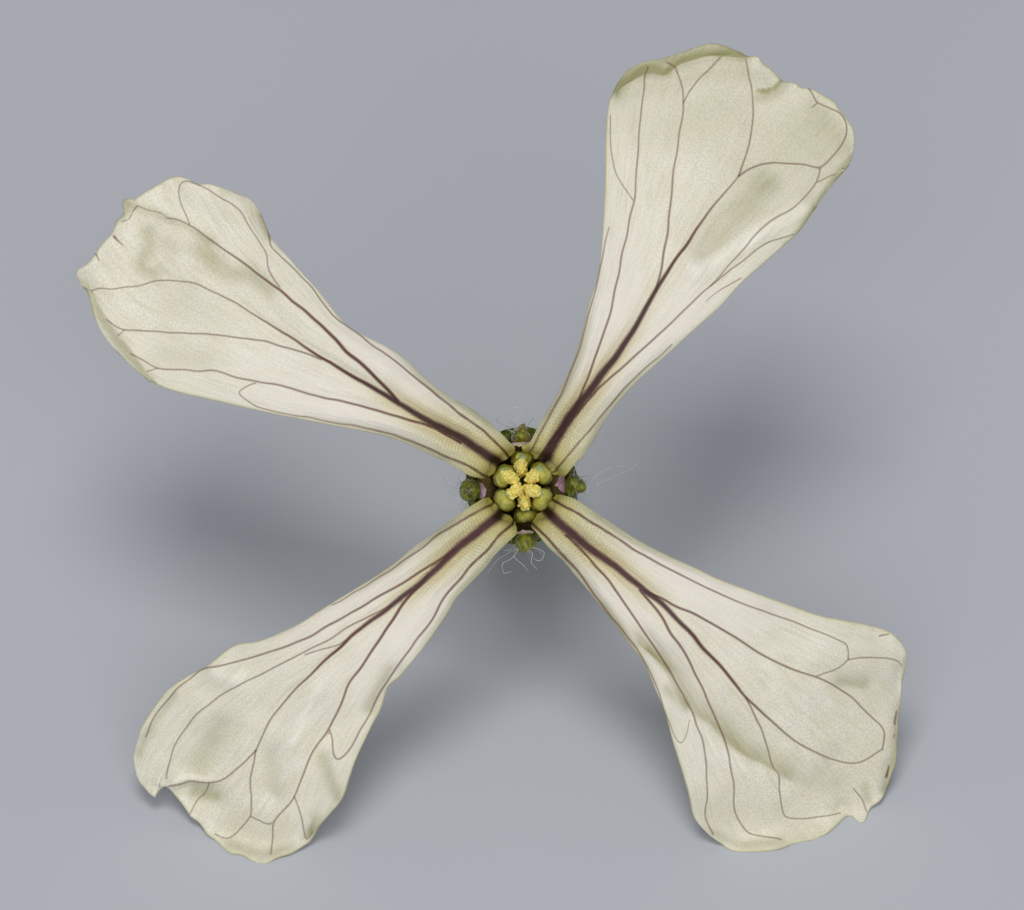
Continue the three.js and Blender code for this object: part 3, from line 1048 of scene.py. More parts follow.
@dataclass
class Petal:
    """A petal: a narrow claw in the tube, bent over at the throat, and a broad veined limb."""

    name: str
    form: PetalForm
    finish: PetalFinish
    columns: int = 122
    claw_rows: int = 44
    bend_rows: int = 18
    limb_rows: int = 256
    base_radius: float = 0.84
    middle_radius: float = 0.98
    throat_radius: float = 1.05
    base_half: float = 0.42
    bend_radius: float = 0.34
    pinch: float = 0.16
    pinch_level: float = -1.75
    pinch_spread: float = 0.75
    claw_thickness: float = 0.18
    limb_thickness: float = 0.15
    sheet_width: float = 7.0
    rounding: float = 0.08
    clearance: float = 0.06
    softness: float = 0.18

    def __post_init__(self) -> None:
        """Work out the petal's direction and the courses of its edges."""
        self.angle = math.radians(self.form.heading)
        self.outward = np.array([math.cos(self.angle), math.sin(self.angle)])
        ends = self.throat(np.array([0.0, 1.0]))
        self.left = Course(np.vstack([ends[:1], self.form.left]))
        self.right = Course(np.vstack([ends[1:], self.form.right]))
        self.tip = Course(self.form.tip)
        calm = self.tip.at(np.linspace(0, 1, 61))
        for _ in range(80):
            calm[1:-1] = (calm[:-2] + 2 * calm[1:-1] + calm[2:]) / 4
        self.calm_tip = Course(calm, steps=4)
        self.reach = (self.left.length + self.right.length) / 2

    def circle(self, radius: np.ndarray, share: np.ndarray, half: np.ndarray) -> np.ndarray:
        """Return points of an arc round the axis, from the petal's left to its right.

        Args:
            radius: Radius of the arc.
            share: 0 at the left, 1 at the right.
            half: Half of the arc's length.

        Returns:
            The points.
        """
        turn = self.angle + (1 - 2 * share) * half / radius
        return np.stack([radius * np.cos(turn), radius * np.sin(turn)], axis=-1)

    def throat(self, share: np.ndarray) -> np.ndarray:
        """Return points of the petal's arc at the throat."""
        return self.circle(self.throat_radius, share, self.form.spread)

    def plan(self, u: np.ndarray, v: np.ndarray) -> np.ndarray:
        """Fill the space between the limb's four edges, with the notches of the tip in its rim only.

        Args:
            u: Shares across the petal, one to a column.
            v: Shares along the limb, one to a row.

        Returns:
            Points by row and column.
        """
        across, along = u[None, :, None], v[:, None, None]
        left, right = self.left.at(v)[:, None], self.right.at(v)[:, None]
        near, calm, exact = self.throat(u)[None], self.calm_tip.at(u)[None], self.tip.at(u)[None]
        far = calm + (exact - calm) * ease(along, 0.72, 1)
        corners = self.throat(np.array([0.0, 1.0]))
        ends = self.tip.path[[0, -1]]
        sides = left * (1 - across) + right * across
        near = near - corners[0] * (1 - across) - corners[1] * across
        far = far - ends[0] * (1 - across) - ends[1] * across
        return sides + near * (1 - along) ** 2 + far * along**2.4

    def claw(self, u: np.ndarray) -> tuple[np.ndarray, np.ndarray]:
        """Work out the claw, which stands in the tube and is drawn in a little below the throat.

        Args:
            u: Shares across the petal, one to a column.

        Returns:
            The middle surface, and the flat plan on which the veins run on, by row and column.
        """
        share = np.linspace(0, 1, self.claw_rows, endpoint=False)[:, None]
        radius = np.where(
            share < 0.5,
            self.base_radius + (self.middle_radius - self.base_radius) * ease(share, 0, 0.5),
            self.middle_radius + (self.throat_radius - self.middle_radius) * ease(share, 0.5, 1),
        )
        half = self.base_half + (self.form.spread - self.base_half) * share
        level = WHORL_BASE + (-self.bend_radius - WHORL_BASE) * share
        waist = bell(level - self.pinch_level, self.pinch_spread) * np.sin(math.pi * u[None]) ** 0.7
        flat = self.circle(radius - self.pinch * waist, u[None], half)
        middle = np.concatenate([flat, np.broadcast_to(level[..., None], (*flat.shape[:2], 1))], axis=-1)
        depth = (-self.bend_radius - level)[..., None]
        return middle, self.throat(u)[None] - self.outward * depth

    def limb(self, u: np.ndarray) -> tuple[np.ndarray, np.ndarray, np.ndarray]:
        """Work out the limb, from where it bends over at the throat out to its tip.

        Args:
            u: Shares across the petal, one to a column.

        Returns:
            The middle surface, its flat plan, and the distance gone out from the throat, by row and
            column.
        """
        turn = np.linspace(0, math.pi / 2, self.bend_rows, endpoint=False)
        bent = self.bend_radius / self.reach
        v = np.concatenate([bent * (1 - np.cos(turn)), bent + (1 - bent) * crowded(self.limb_rows, 0.3)])
        flat = self.plan(u, v)
        gone = np.maximum((flat - self.throat(u)[None]) @ self.outward, 0)
        still = np.maximum(self.bend_radius - gone, 0)
        bend = np.sqrt(self.bend_radius**2 - still**2) - self.bend_radius
        along = np.maximum(gone - self.bend_radius, 0) / (self.reach - self.bend_radius)
        arch = self.form.rise * np.sin(math.pi * np.minimum(along, 1)) - self.form.droop * along**2
        lift = lifted(self.form.folds, flat) * ease(along, 0, 0.25) + lifted(self.form.curls, flat)
        middle = np.concatenate([flat, (bend + arch + lift)[..., None]], axis=-1)
        middle = LIE.landed(middle, self.clearance, self.softness)
        # Each place goes back along the line of sight, so that the outline stays where it was drawn.
        middle[..., :2] += (middle[..., :2] - EYE[:2]) * (-middle[..., 2:] / EYE[2])
        return middle, flat, gone

    def vein_marks(
            self, plan: np.ndarray) -> tuple[dict[Rank, np.ndarray], np.ndarray, np.ndarray, np.ndarray]:
        """Work out where the veins run.

        Args:
            plan: The flat plan by row and column.

        Returns:
            For each rank the offset from its nearest vein with that vein's half width, then the clear
            distance to any vein, the strength of the halo, and the distance from the midrib.
        """
        points = plan.reshape(-1, 2)
        marks = {}
        clear = np.full(len(points), FAR)
        halo = np.zeros(len(points))
        midrib = np.full(len(points), FAR)
        for rank in Rank:
            best = np.full(len(points), FAR)
            mark = np.zeros((len(points), 3))
            for index, vein in enumerate(one for one in self.form.veins if one.rank is rank):
                path, half = vein.path(self.outward)
                path = path + waver(path, self.form.seed) * 0.02
                offset, width = nearest(path, half, points)
                away = np.linalg.norm(offset, axis=1)
                closer = away - width < best
                best[closer] = (away - width)[closer]
                shown = np.where(away < width + 0.1, width, 0)
                mark[closer] = np.column_stack([offset, shown])[closer]
                glow = np.clip((width - 0.02) / 0.08, 0, 1) * np.exp(-np.maximum(away - width, 0) / 0.2)
                halo = np.maximum(halo, glow)
                if rank is Rank.MAIN and index == 0:
                    midrib = away
            marks[rank] = mark.reshape(*plan.shape[:2], 3)
            clear = np.minimum(clear, best)
        shape = plan.shape[:2]
        return marks, clear.reshape(shape), halo.reshape(shape), midrib.reshape(shape)

    def relief(self, plan: np.ndarray, gone: np.ndarray, rim: np.ndarray, clear: np.ndarray,
               midrib: np.ndarray) -> tuple[np.ndarray, np.ndarray]:
        """Work out how far the surface stands out from the middle one, and how thick the petal is.

        Args:
            plan: The flat plan.
            gone: Distance gone out from the throat.
            rim: Distance from the petal's rim.
            clear: Distance from the nearest vein.
            midrib: Distance from the midrib.

        Returns:
            The relief and the thickness, like all the others by row and column.
        """
        slender = (1 - ease(gone, 0.8, 6.5)) * (0.3 + 0.7 * ease(gone, 0.0, 1.3))
        relief = -bell(np.maximum(clear, 0), 0.17) * (0.016 + 0.1 * slender)
        relief = relief - bell(midrib, 0.24) * 0.2 * slender - bell(rim, 0.2) * 0.12 * slender
        broad = ease(gone, 1.0, 5.0)
        edge = bell(rim, 0.4) * ease(gone, 6, 9)
        waves = ((2.6, 0.05, broad), (0.9, 0.012, broad), (1.3, 0.07, edge), (0.45, 0.016, edge))
        for seed, (size, height, share) in enumerate(waves, self.form.seed):
            relief = relief + ripple(plan, size, seed) * height * share
        thickness = self.limb_thickness + (self.claw_thickness - self.limb_thickness) * slender
        inward = np.clip(rim / self.rounding, 0, 1)
        return relief, thickness * (0.3 + 0.7 * np.sqrt(1 - (1 - inward) ** 2))

    def tones(self, level: np.ndarray, plan: np.ndarray, gone: np.ndarray, rim: np.ndarray,
              midrib: np.ndarray) -> dict[str, np.ndarray]:
        """Work out where each tint of the finish shows.

        Args:
            level: Height of the middle surface over the throat.
            plan: The flat plan.
            gone: Distance gone out from the throat.
            rim: Distance from the petal's rim.
            midrib: Distance from the midrib.

        Returns:
            The share of each tint, like all the others by row and column.
        """
        deep = 1 - 0.75 * ease(level, -0.7, -0.1)
        beside = bell(midrib, 0.42)
        return {
            # Painted light: where the claws' walls glow deep in the throat.
            "glow": ease(level, -4.0, -1.8) * deep * (1 - ease(gone, 0.1, 0.9)),
            "throat": np.where(gone > 0, 1 - ease(gone, -0.6, 4.6) ** 0.6, 1),
            "flank": beside * (1 - ease(gone, 0.6, 4.6)),
            "lilac": (1 - beside) * ease(gone, 1.2, 3.0) * (1 - ease(gone, 4.0, 8.0)),
            "glint": bell(midrib - 0.2, 0.09) * ease(gone, 0.9, 1.5) * (1 - ease(gone, 2.4, 4)),
            "rim": bell(rim, 0.07) * ease(gone, 1.0, 5.0),
            # Painted shade on the claw's margins, out from the throat.
            "painted_margin_shade": bell(rim, 0.18, 4) * ease(gone, 0.3, 1.3) * (1 - ease(gone, 2.5, 6)),
            # Painted shade along the folds, and painted highlights where it is below 0.
            "painted_shading": np.clip(lifted(self.form.painted_shading_strokes, plan), -0.6, 0.85),
        }

    def build(self) -> bpy.types.Object:
        """Build the petal and dress it."""
        u = crowded(self.columns, 0.45)
        claw, claw_plan = self.claw(u)
        limb, limb_plan, gone = self.limb(u)
        middle = np.concatenate([claw, limb])
        plan = np.concatenate([claw_plan, limb_plan])
        gone = np.concatenate([np.zeros(claw.shape[:2]), gone])
        marks, clear, halo, midrib = self.vein_marks(plan)
        across = np.linalg.norm(np.diff(middle, axis=1), axis=-1)
        from_left = np.concatenate([np.zeros((len(middle), 1)), np.cumsum(across, axis=1)], axis=1)
        ahead = np.linalg.norm(np.diff(middle, axis=0), axis=-1)
        from_foot = np.concatenate([np.zeros((1, middle.shape[1])), np.cumsum(ahead, axis=0)])
        rim = np.minimum(np.minimum(from_left, from_left[:, -1:] - from_left), from_foot[-1:] - from_foot)

        relief, thickness = self.relief(plan, gone, rim, clear, midrib)
        normal = facing(middle)
        slab = Slab(self.columns, len(middle) - 1)
        slab.bend(middle + normal * relief[..., None], thickness, normal)
        share = np.linspace(-0.5, 0.5, middle.shape[1])[None]
        slab.lay_out("petal", np.broadcast_to(share * self.sheet_width, rim.shape), from_foot)
        for rank, mark in marks.items():
            slab.mark(rank.value, mark)
        slab.mark("halo", halo)
        for name, values in self.tones(middle[..., 2], plan, gone, rim, midrib).items():
            slab.mark(name, values)
        node = f"petal_{self.name}"
        return present(slab.mesh, f"fine_{node}", self.finish.material(), node)


UPPER_RIGHT = PetalForm(
    heading=55.5,
    spread=0.64,
    left=[(0.09, 1.07), (0.29, 1.35), (0.52, 1.81), (0.87, 2.36), (1.22, 3.02), (1.49, 3.68),
          (1.69, 4.39),
          (1.88, 5.17), (2.08, 5.75), (2.18, 6.4), (2.3, 8.25), (2.35, 10.25), (2.55, 11.05),
          (2.95, 11.58)],
    tip=[(2.95, 11.58), (3.33, 11.8), (3.87, 11.9), (4.37, 12.05), (4.77, 12.17), (5.16, 12.26),
         (5.56, 12.22),
         (6.01, 12.1), (6.3, 11.95), (6.55, 11.95), (6.65, 11.78), (6.85, 11.65), (7.12, 11.4),
         (7.25, 11.28),
         (7.59, 11.23), (7.74, 11.11), (8.09, 11.03), (8.39, 10.86), (8.66, 10.71), (8.78, 10.51),
         (9.03, 10.21), (9.21, 9.92), (9.24, 9.47), (9.13, 9.02), (8.98, 8.83), (8.68, 8.56)],
    right=[(1.14, 0.29), (1.45, 0.61), (1.88, 1.11), (2.27, 1.81), (2.7, 2.4), (3.29, 3.02), (4.07, 3.72),
           (4.85, 4.43), (5.5, 5.01), (6.05, 5.62), (6.8, 6.29), (7.25, 6.69), (7.69, 7.12), (8.09, 7.73),
           (8.39, 8.2), (8.68, 8.56)],
    rise=0.5,
    droop=0.9,
    seed=11,
    folds=[
        Fold([(3.1, 11.4), (6.4, 11.9)], 0.55, 0.3),
        Fold([(4.87, 6.1), (6.35, 6.99), (7.74, 7.83)], 0.4, 0.18),
        Fold([(5.11, 6.49), (5.56, 7.24), (6.35, 7.98), (6.85, 8.48)], 0.4, -0.24),
        Fold([(6.6, 8.1), (7.6, 8.45), (8.6, 9.1)], 0.45, 0.14),
    ],
    curls=[
        Fold([(2.65, 11.0), (2.88, 11.18), (3.53, 11.53), (3.97, 11.46), (4.37, 11.73), (4.86, 11.88),
              (5.36, 11.94), (6.2, 11.94)], 0.17, -0.14),
        Fold([(7.25, 11.26), (7.05, 11.1), (6.86, 10.98), (6.6, 10.96)], 0.2, 0.1, (0.3, -1)),
    ],
    painted_shading_strokes=[
        Fold([(2.65, 11.0), (2.88, 11.18), (3.53, 11.53), (3.97, 11.46), (4.37, 11.73), (4.86, 11.88),
              (5.36, 11.94), (6.2, 11.94)], 0.15, 0.7, (-0.5, 1)),
        Fold([(2.62, 10.95), (2.95, 11.45), (3.87, 11.8), (4.77, 12.07), (5.56, 12.12),
              (6.2, 12.0)], 0.2, 0.55),
        Fold([(3.45, 11.56), (4.05, 11.5)], 0.13, 0.4),
        Fold([(2.7, 10.9), (3.3, 11.25), (4.2, 11.4), (5.2, 11.6), (6.0, 11.7)], 0.3, 0.22),
        Fold([(7.26, 11.29), (7.05, 11.11), (6.86, 10.99), (6.6, 10.97)], 0.045, 0.8),
        Fold([(7.3, 11.2), (6.9, 10.9), (6.5, 10.8)], 0.16, 0.25),
        Fold([(5.11, 6.49), (5.56, 7.24), (6.35, 7.98), (6.85, 8.48)], 0.34, 0.3),
        Fold([(9.15, 9.1), (8.65, 8.52), (8.08, 7.7), (7.66, 7.06)], 0.13, 0.42),
        Fold([(8.1, 7.72), (7.7, 7.12), (7.3, 6.75)], 0.1, 0.35),
        Fold([(5.0, 10.4), (5.8, 10.7)], 0.9, 0.16),
        Fold([(6.8, 8.6), (7.8, 9.7)], 1.5, 0.2),
        Fold([(8.0, 9.9), (8.6, 9.2)], 0.7, 0.16),
        Fold([(3.0, 10.4), (4.2, 10.2)], 0.9, 0.12),
        Fold([(8.1, 10.6), (9.0, 9.5)], 0.3, 0.16),
        Fold([(6.8, 11.2), (6.3, 11.5)], 0.3, 0.14),
        Fold([(4.87, 6.0), (6.35, 6.85), (7.74, 7.73)], 0.16, -0.4),
    ],
    veins=[
        Vein(Rank.MAIN, 0.17, 0.024, [
            (0.64, 0.76), (1.28, 1.88), (2.2, 3.08), (3.12, 4.38), (3.58, 5.2), (4.02, 5.94),
            (4.64, 6.86),
            (5.02, 7.42), (5.58, 8.12), (6, 8.62)]),
        Vein(Rank.SIDE, 0.027, 0.022, [
            (6, 8.62), (6.22, 9.24), (6.36, 9.86), (6.42, 10.42), (6.36, 11.12), (6.22, 11.84)]),
        Vein(Rank.BRANCH, 0.027, 0.022, [
            (6, 8.62), (6.34, 8.84), (6.72, 8.98), (7.28, 8.98), (7.86, 8.94), (8.28, 8.88), (8.64, 9.2),
            (8.94, 9.64), (9, 10.02), (8.84, 10.36), (8.58, 10.5), (8.2, 10.66), (8.08, 10.84),
            (7.94, 11.06)]),
        Vein(Rank.SIDE, 0.02, 0.018, [(8.2, 10.66), (8.02, 10.52)]),
        Vein(Rank.SIDE, 0.02, 0.014, [(8.19, 8.48), (8.5, 8.62), (8.83, 8.73), (9.08, 8.95)]),
        Vein(Rank.BRANCH, 0.022, 0.022, [
            (8.28, 8.88), (8.14, 8.44), (7.76, 7.94), (7.16, 7.52), (6.5, 7.02), (6.06, 6.52),
            (5.2, 5.58)]),
        Vein(Rank.SIDE, 0.034, 0.022, [
            (3.72, 5.42), (3.88, 6.14), (4.08, 7.42), (4.24, 9), (4.48, 10.66), (4.28, 11.56),
            (4, 11.78)]),
        Vein(Rank.BRANCH, 0.022, 0.02, [(4.48, 10.66), (4.7, 11.06), (5.02, 11.48), (5.52, 11.88)]),
        Vein(Rank.SIDE, 0.04, 0.022, [
            (0.56, 0.92), (0.98, 1.5), (1.42, 2.12), (1.92, 3.28), (2.42, 4.76), (2.8, 6.5), (3.08, 7.88),
            (3.22, 9.3), (3.3, 10.42), (3.42, 11.34), (3.5, 11.66)]),
        Vein(Rank.BRANCH, 0.018, 0.018, [(3.05, 7.95), (2.64, 8.66), (2.48, 9.3), (2.44, 10.3)]),
        Vein(Rank.SIDE, 0.029, 0.02, [
            (0.3, 1.12), (0.8, 2.02), (1.2, 2.8), (1.5, 3.58), (1.76, 4.42), (2.06, 5.58), (2.24, 6.5),
            (2.42, 7.22)]),
        Vein(Rank.SIDE, 0.04, 0.022, [
            (0.9, 1.2), (1.88, 2.48), (2.42, 3), (3.8, 4.24), (5.2, 5.58), (6.06, 6.24), (6.72, 6.76),
            (7.48, 7.02)]),
        Vein(Rank.SIDE, 0.031, 0.022, [(1.06, 0.62), (1.98, 1.7), (2.88, 2.78), (3.44, 3.3),
                                       (4.15, 3.95)]),
        Vein(Rank.BRANCH, 0.012, 0.02, [(5.1, 5.16), (5.42, 5.42), (5.82, 5.64), (6.08, 5.78)]),
    ],
)

UPPER_LEFT = PetalForm(
    heading=134,
    spread=0.62,
    left=[(-1.46, 0.32), (-1.91, 0.59), (-2.57, 0.9), (-3.24, 1.21), (-3.9, 1.43), (-4.79, 1.61),
          (-5.9, 1.83),
          (-7, 2.05), (-8.55, 2.4), (-9.8, 2.7), (-10.55, 3.1), (-11.2, 3.7)],
    tip=[(-11.2, 3.7), (-11.62, 4.2), (-11.86, 4.69), (-11.99, 5.14), (-12.07, 5.43), (-12.31, 5.71),
         (-12.37, 5.95), (-12.19, 6.12), (-12.03, 6.26), (-11.86, 6.48), (-11.62, 6.81), (-11.38, 7.09),
         (-11.27, 7.38), (-11.07, 7.58), (-11.05, 7.93), (-10.89, 8.01), (-10.78, 7.99), (-10.32, 8.28),
         (-9.95, 8.5), (-9.71, 8.6), (-9.5, 8.61), (-9.26, 8.54), (-9.01, 8.42), (-8.69, 8.43),
         (-8.28, 8.3), (-7.95, 8.15), (-7.55, 7.97), (-7.27, 7.6)],
    right=[(-0.36, 1.25), (-0.71, 1.61), (-1.24, 2.05), (-2.13, 2.58), (-2.75, 3.07), (-3.19, 3.51),
           (-3.72, 3.87), (-4.34, 4.18), (-4.79, 4.44), (-5.1, 4.75), (-5.65, 5.45), (-6.35, 6.2),
           (-6.95, 6.9), (-7.27, 7.6)],
    rise=0.45,
    droop=0.7,
    seed=23,
    folds=[
        Fold([(-11.3, 3.9), (-12, 5.4)], 0.5, 0.25),
        Fold([(-7.4, 7.7), (-8.9, 8.3)], 0.5, 0.2),
        Fold([(-4, 3.2), (-7, 5.6)], 0.6, 0.22),
        Fold([(-10.39, 7.1), (-10.35, 6.69), (-10.58, 6.14), (-10.25, 5.95)], 0.3, -0.14),
        Fold([(-8.83, 6.73), (-8.55, 6.27), (-8.13, 5.95), (-7.58, 5.91), (-7.08, 5.49)], 0.32, -0.16),
        Fold([(-9.5, 6.9), (-9.4, 6.2), (-8.9, 5.7)], 0.4, 0.14),
    ],
    curls=[
        Fold([(-12.2, 5.7), (-11.98, 4.95), (-11.6, 4.2), (-11.1, 3.6), (-10.4, 2.95)], 0.22, 0.26),
        Fold([(-10.84, 8.0), (-10.67, 7.82), (-9.98, 7.6), (-9.84, 7.47), (-9.15, 7.23)], 0.3, 0.06),
        Fold([(-10.94, 7.98), (-11.04, 7.75)], 0.16, 0.14),
        Fold([(-7.31, 7.61), (-7.03, 6.92)], 0.22, 0.07),
    ],
    painted_shading_strokes=[
        Fold([(-12.15, 5.66), (-11.94, 5.16), (-11.74, 4.81), (-11.58, 4.6), (-11.21, 4.12),
              (-10.93, 3.8),
              (-10.72, 3.47), (-10.52, 3.14), (-10.25, 2.9)], 0.32, 0.4, (-1, -0.9)),
        Fold([(-10.9, 7.86), (-10.67, 7.74), (-10.25, 7.64), (-10.0, 7.52), (-9.75, 7.4)], 0.13, 0.36),
        Fold([(-8.3, 8.2), (-7.9, 8.05), (-7.5, 7.8), (-7.25, 7.4), (-7.1, 6.95)], 0.14, 0.2),
        Fold([(-9.8, 6.75), (-8.6, 6.35)], 0.2, 0.16),
        Fold([(-9.6, 7.34), (-9.1, 7.1), (-8.6, 6.8)], 0.1, 0.3),
        Fold([(-11.0, 7.9), (-11.05, 7.6), (-11.3, 7.3)], 0.08, 0.4),
        Fold([(-10.39, 7.1), (-10.35, 6.69), (-10.58, 6.14), (-10.25, 5.95)], 0.22, 0.4),
        Fold([(-8.83, 6.73), (-8.55, 6.27), (-8.13, 5.95), (-7.58, 5.91), (-7.08, 5.49)], 0.26, 0.36),
        Fold([(-7.28, 7.61), (-7.0, 6.92)], 0.09, 0.45),
        Fold([(-9.6, 5.1), (-8.6, 4.9)], 0.6, 0.12),
        Fold([(-9.9, 3.7), (-8.8, 3.5)], 0.35, 0.14),
    ],
    veins=[
        Vein(Rank.MAIN, 0.16, 0.02, [
            (-0.62, 0.66), (-1.62, 1.3), (-2.36, 1.7), (-3.08, 2.12), (-4.58, 3), (-6.06, 3.94),
            (-7.56, 4.88), (-8.3, 5.29), (-8.98, 5.6), (-9.37, 5.71), (-10.06, 5.7), (-10.7, 5.56),
            (-11.34, 5.5), (-11.76, 5.52), (-12.0, 5.44)], fade=3.0),
        Vein(Rank.SIDE, 0.056, 0.022, [
            (-3.44, 2.38), (-4.08, 3.06), (-4.78, 3.7), (-5.34, 4.28), (-6.06, 4.92), (-7.38, 5.98),
            (-8.36, 6.66), (-9.06, 7.16), (-9.48, 7.38), (-9.84, 7.46)], fade=1.2),
        Vein(Rank.SIDE, 0.026, 0.018, [(-10.7, 7.78), (-10.86, 7.62), (-10.9, 7.46), (-11.12, 7.37)]),
        Vein(Rank.BRANCH, 0.013, 0.013, [(-9.84, 7.46), (-10.0, 7.6), (-10.36, 7.69), (-10.7, 7.8)]),
        Vein(Rank.BRANCH, 0.02, 0.02, [
            (-9.22, 7.3), (-9.42, 7.8), (-9.5, 8.24), (-9.34, 8.48), (-8.94, 8.36), (-8.08, 7.88),
            (-7.72, 7.56), (-7.42, 7.02), (-7.1, 6.5), (-7.02, 6.1), (-6.9, 5.8), (-6.72, 5.54)]),
        Vein(Rank.SIDE, 0.038, 0.022, [
            (-0.42, 0.92), (-1.12, 1.62), (-1.86, 2.14), (-3.34, 3.34), (-4.78, 4.38), (-5.42, 4.92),
            (-5.88, 5.56), (-6.45, 6.12), (-6.94, 6.64), (-7.02, 6.95), (-7.1, 7.25), (-7.26, 7.58)]),
        Vein(Rank.SIDE, 0.029, 0.022, [
            (-5.58, 3.58), (-5.92, 3.7), (-6.8, 3.94), (-7.38, 4.08), (-8.62, 4.22), (-9.86, 4.3),
            (-11.06, 4.36), (-11.56, 4.64)]),
        Vein(Rank.BRANCH, 0.018, 0.018, [(-11.06, 4.36), (-11.24, 4.2)]),
        Vein(Rank.SIDE, 0.043, 0.022, [
            (-1.7, 1.2), (-2.58, 1.7), (-3.34, 1.92), (-4.58, 2.28), (-5.58, 2.5), (-6.56, 2.78),
            (-7.86, 3.02), (-8.48, 3.2), (-9.24, 3.24), (-10.12, 3.3), (-10.86, 3.7)]),
        Vein(Rank.BRANCH, 0.018, 0.018, [(-10.12, 3.3), (-10.44, 3.2)]),
        Vein(Rank.BRANCH, 0.02, 0.02, [(-7.38, 2.88), (-7.84, 2.64), (-7.56, 2.36), (-6.98, 2.12),
                                       (-6.06, 1.94)]),
        Vein(Rank.SIDE, 0.038, 0.022, [
            (-0.98, 0.28), (-1.86, 0.76), (-3.34, 1.36), (-4.08, 1.58), (-5.08, 1.78), (-6.06, 1.94)]),
        Vein(Rank.BRANCH, 0.036, 0.018, [(-11.31, 6.95), (-11.22, 6.84), (-11.07, 6.69)]),
        Vein(Rank.BRANCH, 0.03, 0.015, [(-11.83, 6.46), (-11.72, 6.26)]),
    ],
)

